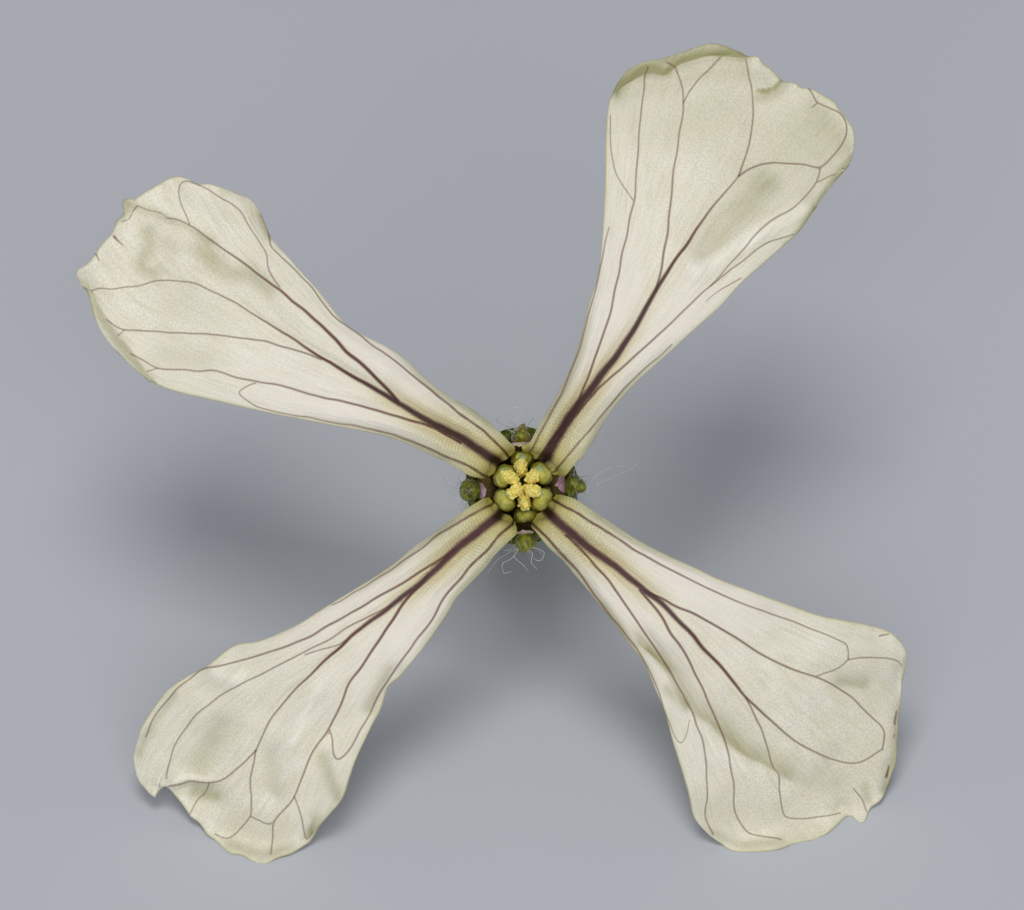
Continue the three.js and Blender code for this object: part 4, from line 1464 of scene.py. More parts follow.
LOWER_LEFT = PetalForm(
    heading=229,
    spread=0.6,
    left=[(-0.16, -1.29), (-0.43, -1.56), (-0.73, -1.86), (-0.95, -2.16), (-1.25, -2.49), (-1.55, -2.79),
          (-1.83, -3.1), (-2.0, -3.4), (-2.21, -3.73), (-2.57, -4.24), (-2.93, -4.72), (-3.39, -5.24),
          (-3.68, -5.5), (-3.8, -5.75), (-3.97, -6.23), (-4.22, -6.73), (-4.57, -7.47), (-4.77, -8.02),
          (-4.97, -8.62), (-5.31, -9.06), (-5.61, -9.41), (-5.91, -9.86)],
    tip=[(-5.91, -9.86), (-6.4, -10.19), (-6.8, -10.32), (-7.1, -10.43), (-7.5, -10.37), (-7.79, -10.22),
         (-8.09, -10.18), (-8.24, -10.08), (-8.49, -9.84), (-8.74, -9.67), (-8.84, -9.5), (-8.98, -9.31),
         (-9.18, -9.16), (-9.26, -9.05), (-9.43, -8.81), (-9.83, -8.37), (-10.0, -8.36), (-10.12, -8.5),
         (-10.2, -8.62), (-10.45, -8.42), (-10.67, -8.12), (-10.79, -7.47)],
    right=[(-1.49, -0.57), (-1.94, -0.9), (-2.39, -1.23), (-2.99, -1.65), (-3.48, -2.07), (-3.9, -2.37),
           (-4.5, -2.75), (-5.25, -3.2), (-6.25, -3.83), (-7.2, -4.25), (-7.99, -4.4), (-8.69, -4.92),
           (-9.18, -5.19), (-9.78, -5.59), (-10.22, -6.13), (-10.57, -6.73), (-10.79, -7.47)],
    rise=0.5,
    droop=1.9,
    seed=37,
    folds=[
        Fold([(-9.03, -8.47), (-8.54, -8.57)], 0.34, -0.2),
        Fold([(-8.39, -6.58), (-8.69, -7.23), (-9.03, -7.82)], 0.4, -0.14),
        Fold([(-4.4, -6.4), (-5.2, -6.7)], 0.5, -0.16),
        Fold([(-8.54, -5.19), (-8.0, -5.34)], 0.3, 0.12),
        Fold([(-5.71, -5.64), (-6.31, -7.03)], 0.4, 0.16),
        Fold([(-7.05, -7.42), (-6.85, -8.47)], 0.35, -0.12),
        Fold([(-5.76, -9.21), (-5.96, -9.71)], 0.2, -0.14),
        Fold([(-5.6, -4), (-8.6, -6.2)], 0.7, 0.2),
    ],
    curls=[
        Fold([(-9.83, -8.37), (-9.53, -8.19), (-9.18, -8.14), (-8.69, -8.22)], 0.26, 0.15, (0.2, 1)),
        Fold([(-3.5, -5.2), (-3.8, -5.7), (-4.1, -6.2)], 0.25, -0.16),
    ],
    painted_shading_strokes=[
        Fold([(-9.03, -8.47), (-8.54, -8.57)], 0.24, 0.55),
        Fold([(-9.83, -8.3), (-9.53, -8.1), (-9.18, -8.05), (-8.69, -8.13)], 0.07, -0.4),
        Fold([(-8.39, -6.58), (-8.69, -7.23), (-9.03, -7.82)], 0.34, 0.28),
        Fold([(-3.72, -5.05), (-4.0, -5.6), (-4.25, -6.15)], 0.2, 0.3),
        Fold([(-7.05, -7.42), (-6.85, -8.47)], 0.3, 0.22),
        Fold([(-5.5, -7.5), (-5.3, -8.1), (-5.1, -8.6)], 0.2, 0.38),
        Fold([(-5.76, -9.21), (-5.96, -9.71)], 0.12, 0.4),
        Fold([(-5.8, -9.55), (-5.45, -9.3), (-5.15, -9.0)], 0.16, 0.42),
        Fold([(-8.1, -9.95), (-7.5, -10.15), (-6.9, -10.2), (-6.4, -10.0)], 0.16, 0.28),
        Fold([(-7.9, -9.3), (-6.9, -9.7)], 0.5, 0.16),
        Fold([(-8.54, -5.14), (-8.0, -5.3)], 0.13, -0.4),
        Fold([(-5.71, -5.64), (-6.31, -7.03)], 0.15, -0.35),
        Fold([(-7.0, -8.6), (-7.1, -8.8)], 0.15, -0.3),
        Fold([(-9.6, -5.75), (-10.3, -6.7), (-10.6, -7.4)], 0.12, 0.3),
    ],
    veins=[
        Vein(Rank.MAIN, 0.145, 0.024, [
            (-0.66, -0.8), (-1.64, -1.56), (-2.62, -2.5), (-3.62, -3.28), (-4.76, -4.16), (-5.88, -5.2),
            (-6.86, -6.28), (-7.38, -7.3)], fade=1.9),
        Vein(Rank.SIDE, 0.025, 0.021, [
            (-7.38, -7.3), (-7.86, -7.78), (-8.24, -8.06), (-8.66, -8.22), (-9.2, -8.14),
            (-9.56, -8.2), (-9.82, -8.32)]),
        Vein(Rank.BRANCH, 0.02, 0.018, [(-8.66, -8.22), (-8.78, -8.48), (-9.02, -8.7), (-9.2, -9.06)]),
        Vein(Rank.BRANCH, 0.025, 0.02, [
            (-7.38, -7.3), (-7.52, -8.08), (-7.5, -8.7), (-7.52, -9.12), (-7.86, -9.5), (-8.16, -9.76),
            (-8.52, -9.66)]),
        Vein(Rank.SIDE, 0.02, 0.02, [(-7.52, -9.12), (-7.08, -9.34), (-6.84, -9.22)]),
        Vein(Rank.SIDE, 0.038, 0.021, [
            (-1.84, -1.72), (-3.16, -2.56), (-4.16, -3.16), (-5.34, -3.82), (-6.06, -4.22),
            (-6.84, -4.52), (-7.86, -4.86), (-8.84, -5.06), (-9.24, -5.34), (-9.88, -5.94),
            (-10.2, -6.42),
            (-10.42, -6.9)], fade=1.0),
        Vein(Rank.SIDE, 0.027, 0.021, [
            (-3.38, -3.14), (-4.56, -3.76), (-5.34, -4.2), (-6.84, -4.98), (-8.24, -5.7), (-9.08, -6.38),
            (-9.58, -7.08), (-9.76, -7.58), (-9.82, -8.1)]),
        Vein(Rank.BRANCH, 0.022, 0.02, [(-4.92, -4.25), (-5.13, -4.36), (-5.53, -4.49), (-6.03, -4.64)]),
        Vein(Rank.SIDE, 0.036, 0.02, [
            (-0.86, -0.5), (-2.02, -1.14), (-3.2, -2), (-4.06, -2.56), (-4.76, -2.99), (-5.29, -3.28)]),
        Vein(Rank.SIDE, 0.047, 0.022, [
            (-2.62, -2.5), (-3.08, -2.98), (-3.58, -3.66), (-4.2, -4.62), (-4.78, -5.44), (-5.34, -6.7),
            (-5.8, -7.3), (-6.3, -8.58), (-6.84, -9.22), (-6.92, -9.72), (-6.98, -10.22)]),
        Vein(Rank.BRANCH, 0.02, 0.02, [(-6.3, -8.58), (-6.12, -9.08), (-6.08, -9.5), (-5.98, -9.78),
                                       (-5.8, -9.56)]),
        Vein(Rank.SIDE, 0.04, 0.024, [
            (-0.3, -1.06), (-1.14, -1.92), (-2.02, -2.88), (-2.52, -3.7), (-3.22, -4.64), (-3.62, -5.2),
            (-4.02, -5.83), (-4.37, -6.57), (-4.77, -7.27), (-5.07, -7.56), (-5.22, -7.36),
            (-5.28, -6.95),
            (-5.34, -6.72)]),
    ],
)

LOWER_RIGHT = PetalForm(
    heading=316,
    spread=0.6,
    left=[(1.39, -0.3), (1.75, -0.51), (2.35, -0.9), (2.88, -1.26), (3.41, -1.58), (4.12, -1.93),
          (4.83, -2.25),
          (5.5, -2.57), (6.28, -2.86), (8.05, -3.5), (9.06, -3.72), (10.02, -3.95), (10.47, -4.22),
          (10.68, -4.58)],
    tip=[(10.68, -4.58), (10.66, -5.0), (10.54, -5.52), (10.43, -6.36), (10.42, -6.91), (10.4, -7.6),
         (10.17, -8.2), (9.97, -8.67), (9.68, -8.92), (9.58, -9.2), (9.43, -9.34), (9.23, -9.19),
         (9.06, -9.12), (8.88, -9.26), (8.54, -9.59), (8.24, -9.72), (8.04, -9.81), (7.59, -9.89),
         (7.15, -10.06), (6.5, -10.12), (5.9, -10.1), (5.63, -9.98), (5.22, -9.68)],
    right=[(0.43, -1.29), (0.75, -1.68), (1.11, -2.0), (1.46, -2.43), (1.82, -2.85), (2.21, -3.35),
           (2.63, -3.88), (3.06, -4.45), (3.38, -4.87), (3.59, -5.36), (3.78, -5.8), (4.01, -6.4),
           (4.21, -7.15), (4.46, -7.96), (4.62, -8.57), (4.8, -9.22), (5.22, -9.68)],
    rise=0.45,
    droop=1.95,
    seed=53,
    folds=[
        Fold([(3.3, -4.33), (4.01, -4.98), (4.67, -6.09), (5.42, -6.65), (6.03, -7.25), (6.84, -7.71),
              (7.3, -8.02)], 0.62, -0.11, (0.3, 0.3)),
        Fold([(4.77, -6.55), (5.5, -7.38), (6.1, -7.9)], 0.3, 0.06),
        Fold([(4.4, -4), (8, -7.2)], 0.7, 0.2),
        Fold([(9.46, -5.44), (8.8, -5.39)], 0.3, -0.12),
        Fold([(8.4, -4.6), (9.4, -4.9)], 0.5, 0.12),
    ],
    curls=[
        Fold([(10.5, -5.0), (10.42, -6.6), (10.1, -8.4)], 0.2, -0.16),
        Fold([(9.2, -9.0), (9.0, -8.8), (8.8, -8.9)], 0.16, -0.12),
    ],
    painted_shading_strokes=[
        Fold([(3.3, -4.33), (4.01, -4.98), (4.67, -6.09), (5.42, -6.65), (6.03, -7.25), (6.84, -7.71),
              (7.3, -8.0)], 0.42, 0.5, (0.4, 0.4)),
        Fold([(5.3, -6.7), (6.3, -7.6)], 0.2, 0.2, (0.4, 0.4)),
        Fold([(8.0, -8.2), (8.7, -8.15)], 0.3, 0.16),
        Fold([(2.2, -3.4), (2.7, -4.0), (3.2, -4.9), (3.5, -5.4)], 0.22, 0.5, (1, 0.6)),
        Fold([(4.7, -6.5), (5.5, -7.32), (6.1, -7.8)], 0.1, -0.35),
        Fold([(3.5, -4.53), (4.0, -5.03)], 0.14, 0.35),
        Fold([(4.0, -5.59), (4.5, -6.09)], 0.14, 0.35),
        Fold([(9.46, -5.44), (8.8, -5.39)], 0.2, 0.34),
        Fold([(9.6, -5.2), (9.5, -7.2), (8.9, -8.6)], 0.8, 0.13),
        Fold([(5.3, -9.0), (6.6, -8.9), (7.6, -9.4)], 0.6, 0.14),
        Fold([(4.9, -7.2), (5.0, -8.0)], 0.4, -0.2),
        Fold([(10.5, -5.9), (10.38, -6.8), (10.3, -7.6), (10.02, -8.4)], 0.13, 0.6),
        Fold([(10.62, -4.7), (10.54, -5.4)], 0.07, 0.4),
        Fold([(9.5, -8.3), (9.6, -8.7)], 0.12, 0.35),
        Fold([(5.3, -9.6), (6.2, -9.95), (7.2, -9.9)], 0.14, 0.3),
    ],
    veins=[
        Vein(Rank.MAIN, 0.15, 0.022, [
            (0.72, -0.7), (1.7, -1.56), (2.86, -2.42), (4.02, -3.38), (5.2, -4.62), (6.24, -5.84),
            (7.14, -6.66), (7.64, -7.08), (8.2, -7.38), (8.72, -7.58), (9.22, -7.64), (9.64, -7.48),
            (9.98, -7.24)], fade=2.2),
        Vein(Rank.SIDE, 0.038, 0.022, [
            (3.44, -2.88), (4.22, -3.28), (5, -3.66), (5.84, -4.14), (6.66, -4.66), (7.52, -5.06),
            (8.12, -5.22), (8.74, -5.56), (9.25, -5.93), (9.7, -6.38), (10.0, -6.72),
            (9.98, -7.24)], fade=1.0),
        Vein(Rank.SIDE, 0.027, 0.02, [
            (6.24, -5.84), (6.48, -6.36), (6.78, -7.12), (6.92, -7.64), (7.06, -8.06), (7.2, -8.92),
            (7.38, -9.16), (7.76, -9.22), (8.2, -9.16), (8.84, -9.08)]),
        Vein(Rank.SIDE, 0.04, 0.021, [
            (3.28, -2.86), (3.84, -3.56), (4.52, -4.62), (5.14, -5.84), (5.64, -7.12), (5.8, -7.78),
            (5.88, -8.42), (5.92, -9.02), (6.16, -9.5), (6.56, -9.7), (7.2, -9.86)]),
        Vein(Rank.SIDE, 0.04, 0.022, [
            (1.22, -1.34), (2.28, -2.44), (3.44, -4.08), (4.12, -5.12), (4.72, -6.3), (5.06, -7.28),
            (5.12, -8.5), (5.08, -9.14), (5.28, -9.64)]),
        Vein(Rank.SIDE, 0.04, 0.021, [
            (0.44, -1.16), (1.5, -2.3), (2.48, -3.62), (3.2, -4.5), (3.66, -5.36), (3.9, -6.02)]),
        Vein(Rank.BRANCH, 0.016, 0.013, [
            (3.9, -6.02), (4.08, -6.55), (4.26, -6.96), (4.42, -7.06), (4.58, -6.8), (4.66, -6.44)]),
        Vein(Rank.SIDE, 0.04, 0.021, [
            (0.88, -0.36), (2.08, -1.08), (3.44, -1.92), (5, -2.72), (6.12, -3.22), (7.8, -3.84),
            (8.84, -4.28), (9.02, -4.5), (9.03, -4.76)]),
        Vein(Rank.BRANCH, 0.02, 0.02, [(9.03, -4.76), (9.44, -4.72), (10.3, -4.76), (10.52, -4.92)]),
        Vein(Rank.BRANCH, 0.018, 0.02, [(9.03, -4.76), (8.72, -5), (8.16, -5.21)]),
        Vein(Rank.BRANCH, 0.025, 0.02, [(9.94, -4.14), (10.16, -4.08)]),
        Vein(Rank.BRANCH, 0.02, 0.02, [(9.2, -8.38), (9.44, -8.66), (9.56, -9.02)]),
        Vein(Rank.BRANCH, 0.024, 0.03, [(10.32, -6.21), (10.3, -6.4), (10.28, -6.56)]),
        Vein(Rank.BRANCH, 0.024, 0.02, [(10.27, -6.84), (10.24, -6.94)]),
        Vein(Rank.BRANCH, 0.026, 0.036, [(10.17, -7.72), (10.12, -7.9), (10.06, -8.03)]),
    ],
)

PETALS: dict[str, tuple[PetalForm, PetalFinish]] = {
    "upper_right": (UPPER_RIGHT, PetalFinish("petal_cream_upper_right")),
    "upper_left": (UPPER_LEFT, PetalFinish("petal_cream_upper_left")),
    "lower_left": (LOWER_LEFT, PetalFinish(
        "petal_cream_lower_left", vein_deep=paint(74, 34, 38), vein_heart=paint(86, 44, 54))),
    "lower_right": (LOWER_RIGHT, PetalFinish(
        "petal_cream_lower_right", vein_deep=paint(70, 32, 36), vein_heart=paint(80, 40, 48))),
}


@dataclass(frozen=True)
class Lump:
    """A rounded swelling: its middle in the flower's frame and its three half sizes."""

    at: Triple
    size: Triple


@dataclass
class Sepal:
    """A sepal between two claws: a pouched or plain blade, a knobbed hood and a thin inturned flap."""

    name: str
    angle: float
    pouch: float
    hood: list[Lump]
    flap_turn: float
    flap_radius: tuple[float, float]
    flap_half: float
    flap_level: float
    blush: float = 0.2
    columns: int = 48
    rows: int = 130
    pouch_level: float = -7.6
    pouch_spread: float = 0.8
    thickness: float = 0.28
    flap_thickness: float = 0.03
    # Distance from the axis, half width and level, from its foot to its hood.
    stages: tuple[Triple, ...] = (
        (1.42, 0.66, WHORL_BASE), (1.46, 0.8, -7.7), (1.45, 0.82, -6.2), (1.44, 0.78, -4.6),
        (1.44, 0.62, -3.2), (1.45, 0.42, -2.3), (1.46, 0.3, -1.6), (1.46, 0.24, -1.15),
        (1.45, 0.16, -0.95),
    )

    def middle(self) -> tuple[np.ndarray, np.ndarray, np.ndarray]:
        """Work out the middle surface, with the shares across and along it."""
        u = np.linspace(0, 1, self.columns + 1)[None]
        v = np.linspace(0, 1, self.rows + 1)[:, None]
        distance, half, level = np.moveaxis(Course(self.stages, mirrored=True).stage(v), -1, 0)
        radius = distance + self.pouch * bell(level - self.pouch_level, self.pouch_spread)
        turn = math.radians(self.angle) + (1 - 2 * u) * half / radius
        points = stacked(radius * np.cos(turn), radius * np.sin(turn), level)
        return points, np.broadcast_to(u, points.shape[:2]), np.broadcast_to(v, points.shape[:2])

    def blade(self, look: bpy.types.Material) -> bpy.types.Object:
        """Build the blade of the sepal.

        Args:
            look: Its material.

        Returns:
            The piece.
        """
        middle, u, v = self.middle()
        seed = int(self.angle)
        bumps = ripple(middle, 0.8, seed) * 0.018 + ripple(middle, 0.2, seed + 1) * 0.004
        middle = middle + facing(middle) * bumps[..., None]
        side = np.clip(np.minimum(u, 1 - u) / 0.3, 0, 1)
        end = np.clip((1 - v) / 0.06, 0, 1)
        foot = np.clip(v / 0.02, 0.5, 1)
        round_off = np.sqrt(1 - (1 - side) ** 2) * np.sqrt(1 - (1 - end) ** 2)
        thickness = self.thickness * (0.2 + 0.8 * round_off) * foot
        slab = Slab(self.columns, self.rows)
        slab.bend(middle, thickness)
        slab.mark("margin", bell(np.minimum(u, 1 - u), 0.04) * (1 - ease(v, 0.6, 0.8)) * 0.6)
        slab.mark("blush", ease(v, 0.1, 0.4) * (1 - ease(v, 0.5, 0.8)) * 0.6)
        node = f"sepal_{self.name}"
        return present(slab.mesh, f"fine_{node}", look, node)

    def knobs(self, look: bpy.types.Material) -> bpy.types.Object:
        """Build the rounded knobs of the hood.

        Args:
            look: Their material.

        Returns:
            The piece.
        """
        made = bmesh.new()
        for lump in self.hood:
            bmesh.ops.create_uvsphere(made, u_segments=56, v_segments=36, radius=1,
                                      matrix=Matrix.LocRotScale(Vector(lump.at), None, Vector(lump.size)))
        places = places_of(made)
        centre = np.repeat([lump.at for lump in self.hood], len(places) // len(self.hood), axis=0)
        seed = int(self.angle) + 7
        bumps = ripple(places, 0.35, seed) * 0.035 + ripple(places, 0.1, seed + 1) * 0.008
        reshape(made, places + (places - centre) * (bumps / 0.3 + 0.06)[:, None])
        made.normal_update()
        note(made, "blush", np.full(len(places), self.blush))
        return present(made, f"hood_{self.name}", look)

    def flap(self, look: bpy.types.Material) -> bpy.types.Object:
        """Build the thin flap that the hood's margin turns in towards the throat.

        Args:
            look: Its material.

        Returns:
            The piece.
        """
        u = np.linspace(-1, 1, 41)[None]
        v = np.linspace(0, 1, 17)[:, None]
        ragged = 1 + 0.16 * ripple(stacked(u, v * 0 + self.angle), 0.4, 5)
        outer, inner = self.flap_radius
        radius = outer - v * (outer - inner) * (1 - 0.7 * u**2) * ragged
        turn = math.radians(self.angle + self.flap_turn) + u * self.flap_half / outer
        level = self.flap_level - 0.14 + 0.2 * np.sin(v * 1.7) + 0.02 * np.cos(u * 6)
        level = level + ripple(stacked(u, v), 0.5, 9) * 0.02
        points = stacked(radius * np.cos(turn), radius * np.sin(turn), level)
        slab = Slab(points.shape[1] - 1, points.shape[0] - 1)
        slab.bend(points[:, ::-1], np.full(points.shape[:2], self.flap_thickness))
        return present(slab.mesh, f"flap_{self.name}", look)


SEPALS = [
    Sepal("top", 92, 0.08, [
        Lump((-0.03, 1.4, -1.0), (0.26, 0.2, 0.3)), Lump((0.02, 1.56, -0.96), (0.13, 0.18, 0.2))],
        0.5, (1.24, 1.14), 0.24, -0.42, blush=1.0),
    Sepal("left", 182.5, 0.0, [Lump((-1.45, -0.1, -1.0), (0.29, 0.28, 0.3))],
          3.0, (1.19, 1.0), 0.22, -0.86),
    Sepal("bottom", 272, 0.08, [Lump((0.09, -1.56, -1.02), (0.28, 0.26, 0.3))],
          1.5, (1.32, 1.22), 0.25, -0.8),
    Sepal("right", 3, 0.0, [
        Lump((1.42, 0.04, -1.0), (0.22, 0.29, 0.3)), Lump((1.62, 0.02, -1.02), (0.18, 0.19, 0.22))],
        1.5, (1.2, 0.95), 0.24, -0.86),
]


def ball(columns: int, rings: int) -> tuple[bmesh.types.BMesh, np.ndarray]:
    """Start a ball of unit radius.

    Args:
        columns: Number of faces round it.
        rings: Number of faces from pole to pole.

    Returns:
        The ball and the places of its vertices.
    """
    made = bmesh.new()
    bmesh.ops.create_uvsphere(made, u_segments=columns, v_segments=rings, radius=1)
    return made, places_of(made)


def reshape(made: bmesh.types.BMesh, points: np.ndarray) -> None:
    """Lay a mesh's vertices down at places of the flower's frame.

    Args:
        made: The mesh.
        points: A place for each vertex, in millimetres.
    """
    for vertex, place in zip(made.verts, LIE.placed(points)):
        vertex.co = place


@dataclass
class Stamen:
    """A stamen: a round filament, an anther of two lobes, and the pollen that it sheds inwards."""

    name: str
    at: tuple[float, float]
    long: bool
    seed: int
    teal_at: tuple[float, float]
    clot_shift: Triple
    length: float = 2.2
    half_width: float = 0.33
    half_depth: float = 0.285
    groove: float = 0.42
    long_top: float = 0.9
    short_top: float = -0.1
    filament_radius: float = 0.11
    clot: Triple = (0.16, 0.26, 0.48)
    clot_at: Triple = (0.0, -0.19, -0.34)
    teal_radius: float = 0.14
    grains: int = 46
    grain_radius: float = 0.048

    @property
    def top(self) -> float:
        """Level of the anther's top."""
        return self.long_top if self.long else self.short_top

    @property
    def away(self) -> np.ndarray:
        """Direction from the axis to the anther, as it is seen from the front."""
        return np.array(self.at) / math.hypot(*self.at)

    def local(self, points: np.ndarray) -> np.ndarray:
        """Turn places beside the anther, with y away from the axis, into the flower's frame."""
        right = np.array([self.away[1], -self.away[0]])
        flat = points[..., :1] * right + points[..., 1:2] * self.away + np.array(self.at)
        return np.concatenate([flat, points[..., 2:] + self.top], axis=-1)

    def anther(self, look: bpy.types.Material) -> bpy.types.Object:
        """Build the anther's wall.

        Args:
            look: Its material.

        Returns:
            The piece.
        """
        made, unit = ball(72, 60)
        round_ = np.maximum(np.hypot(unit[:, 0], unit[:, 1]), 1e-6)
        inner = np.clip(-unit[:, 1] / round_, 0, 1)
        outer = np.clip(unit[:, 1] / round_, 0, 1)
        waist = 1 - self.groove * inner**6 - 0.14 * outer**14
        height = np.sign(unit[:, 2]) * np.abs(unit[:, 2]) ** 0.8
        shape = np.column_stack([
            unit[:, 0] * self.half_width * waist,
            unit[:, 1] * self.half_depth * waist,
            height * self.length / 2 - self.length / 2,
        ])
        bumps = ripple(shape, 0.3, self.seed) * 0.026 + ripple(shape, 0.13, self.seed + 1) * 0.013
        shape = shape + unit * bumps[:, None]
        placed = self.local(shape)
        reshape(made, placed)
        made.normal_update()
        aside = np.linalg.norm(placed[:, :2] - np.array(self.teal_at), axis=1)
        note(made, "teal", bell(aside, self.teal_radius) * ease(shape[:, 2], -0.8, -0.3))
        # Painted shade: the wall darkens from just below its top downwards.
        note(made, "depth", ease(-shape[:, 2], 0.1, 0.8))
        node = f"anther_{self.name}"
        return present(made, f"fine_{node}", look, node)

    def pollen(self, look: bpy.types.Material) -> bpy.types.Object:
        """Build the clotted pollen on the anther's inner side.

        Args:
            look: Its material.

        Returns:
            The piece.
        """
        random = np.random.default_rng(self.seed)
        made, unit = ball(72, 54)
        size, middle = np.array(self.clot), np.array(self.clot_at)
        swell = ripple(unit * size, 0.17, self.seed + 3)
        crumb = ripple(unit * size, 0.06, self.seed + 4)
        core = unit * (size + (swell * 0.042 + crumb * 0.008)[:, None]) + middle
        for vertex, place in zip(made.verts, core):
            vertex.co = place
        # How much painted shade each vertex gets from the hollows of the clot; each grain takes a little
        # of it.
        hollow_shades = list(np.clip(-swell * 1.1 - crumb * 0.3 - 0.15, 0, 1))
        for _ in range(self.grains):
            turn = random.uniform(0, 2 * math.pi)
            rise = random.uniform(-0.2, 1.0)
            ring = math.sqrt(max(1 - rise * rise, 0))
            face = np.array([ring * math.cos(turn), ring * math.sin(turn), rise])
            nearby = int(np.argmax(unit @ face))
            place = core[nearby] - face * random.uniform(0.0, 0.02)
            grain = self.grain_radius * random.uniform(0.6, 1.2)
            matrix = Matrix.LocRotScale(Vector(place), None, Vector((grain, grain, grain)))
            fresh = bmesh.ops.create_uvsphere(made, u_segments=8, v_segments=6, radius=1, matrix=matrix)
            hollow_shades.extend([hollow_shades[nearby] * 0.4] * len(fresh["verts"]))
        reshape(made, self.local(places_of(made)) + np.array(self.clot_shift))
        made.normal_update()
        note(made, "painted_hollow_shade", hollow_shades)
        return present(made, f"pollen_{self.name}", look)

    def filament(self, look: bpy.types.Material) -> bpy.types.Object:
        """Build the filament that carries the anther.

        Args:
            look: Its material.

        Returns:
            The piece.
        """
        foot = self.away * (0.44 if self.long else 0.56)
        bend = foot + (np.array(self.at) - foot) * 0.35
        stops = [(*foot, WHORL_BASE), (*bend, -5.2), (*self.at, self.top - self.length + 0.05)]
        share = np.linspace(0, 1, 40)
        path = Course(stops, mirrored=True).at(share)
        radii = self.filament_radius * (1.05 - 0.35 * share + 0.15 * bell(share, 0.06))
        node = f"filament_{self.name}"
        return present(tubes([(path, radii)], 4), f"fine_{node}", look, node)


STAMENS = [
    Stamen("top", (0.01, 0.75), False, 101, (0.02, 0.86), (-0.03, -0.04, 0.4),
           half_width=0.3, half_depth=0.26),
    Stamen("bottom", (0.1, -0.75), False, 113, (0.13, -0.66), (0.0, 0.2, 0.45),
           half_width=0.31, half_depth=0.25),
    Stamen("upper_left", (-0.48, 0.29), True, 127, (-0.5, 0.47), (-0.02, 0.09, 0.0), half_width=0.335),
    Stamen("upper_right", (0.53, 0.37), True, 139, (0.5, 0.54), (-0.04, 0.05, 0.0), half_width=0.335),
    Stamen("lower_left", (-0.48, -0.35), True, 151, (-0.42, -0.19), (0.11, 0.12, 0.0), half_width=0.32),
    Stamen("lower_right", (0.54, -0.32), True, 163, (0.58, -0.16), (-0.06, 0.12, 0.0), half_width=0.335),
]


def tubes(runs: list[tuple[np.ndarray, np.ndarray]], sides: int) -> bpy.types.Mesh:
    """Make closed round tubes along lines.

    Args:
        runs: For each tube its places in the flower's frame and the radius at each, in millimetres.
        sides: Resolution of the tube's round.

    Returns:
        The mesh, in metres and in place.
    """
    curve = bpy.data.curves.new("run", "CURVE")
    curve.dimensions = "3D"
    curve.bevel_depth = MM
    curve.bevel_resolution = sides
    curve.use_fill_caps = True
    for places, radii in runs:
        spline = curve.splines.new("POLY")
        spline.points.add(len(places) - 1)
        laid = np.column_stack([LIE.placed(places), np.ones(len(places))])
        spline.points.foreach_set("co", laid.ravel())
        spline.points.foreach_set("radius", radii)
    holder = linked("run", curve)
    graph = bpy.context.evaluated_depsgraph_get()
    mesh = bpy.data.meshes.new_from_object(holder.evaluated_get(graph))
    bpy.data.objects.remove(holder)
    bpy.data.curves.remove(curve)
    return mesh


@dataclass
class Hairs:
    """Curled clear hairs on the hood of a sepal: some drawn from the photo and a few scattered ones."""

    sepal: str
    angle: float
    seed: int
    drawn: list[list[Triple]]
    count: int = 7
    length: float = 0.8
    thickness: float = 0.013
    fine: float = 0.009
    steps: int = 20

    def build(self, look: bpy.types.Material) -> bpy.types.Object:
        """Build the hairs.

        Args:
            look: Their material.

        Returns:
            The piece.
        """
        random = np.random.default_rng(self.seed)
        turn = math.radians(self.angle)
        out = np.array([math.cos(turn), math.sin(turn), 0])
        side = np.array([-math.sin(turn), math.cos(turn), 0])
        runs = []
        for stops in self.drawn:
            places = Course(stops, mirrored=True).at(np.linspace(0, 1, 30))
            wave = ripple(places, 0.5, self.seed)[:, None] * 0.01
            runs.append((places + wave, self.thickness * np.linspace(1.1, 0.45, 30)))
        for _ in range(self.count):
            foot = out * random.uniform(1.45, 1.72) + side * random.uniform(-0.25, 0.25)
            foot = foot + np.array([0, 0, random.uniform(-1.3, -0.8)])
            heading = out * random.uniform(0.3, 1.0) + side * random.uniform(-0.9, 0.9)
            heading = heading + np.array([0, 0, random.uniform(0.1, 0.7)])
            length = self.length * random.uniform(0.5, 1.3)
            curl = random.uniform(1.6, 4.2) / length
            runs.append(self.strand(foot, heading, random.normal(size=3), length, curl))
        return present(tubes(runs, 1), f"hairs_{self.sepal}", look)

    def strand(self, foot: np.ndarray, heading: np.ndarray, axis: np.ndarray, length: float,
               curl: float) -> tuple[np.ndarray, np.ndarray]:
        """Walk one curled hair.

        Args:
            foot: Where it grows.
            heading: Where it starts off to.
            axis: What it curls round.
            length: Its length.
            curl: How far it turns to a millimetre, in radians.

        Returns:
            Its places and the radius at each.
        """
        stride = length / self.steps
        heading = heading / np.linalg.norm(heading)
        axis = axis / np.linalg.norm(axis)
        place = foot - heading * 0.1
        places = [place]
        for step in range(self.steps):
            heading = heading + np.cross(axis, heading) * curl * stride * (0.4 + 1.4 * step / self.steps)
            heading = heading / np.linalg.norm(heading)
            place = place + heading * stride
            places.append(place)
        share = np.linspace(0, 1, self.steps + 1)
        return np.array(places), self.fine * (1.15 - 0.75 * share)


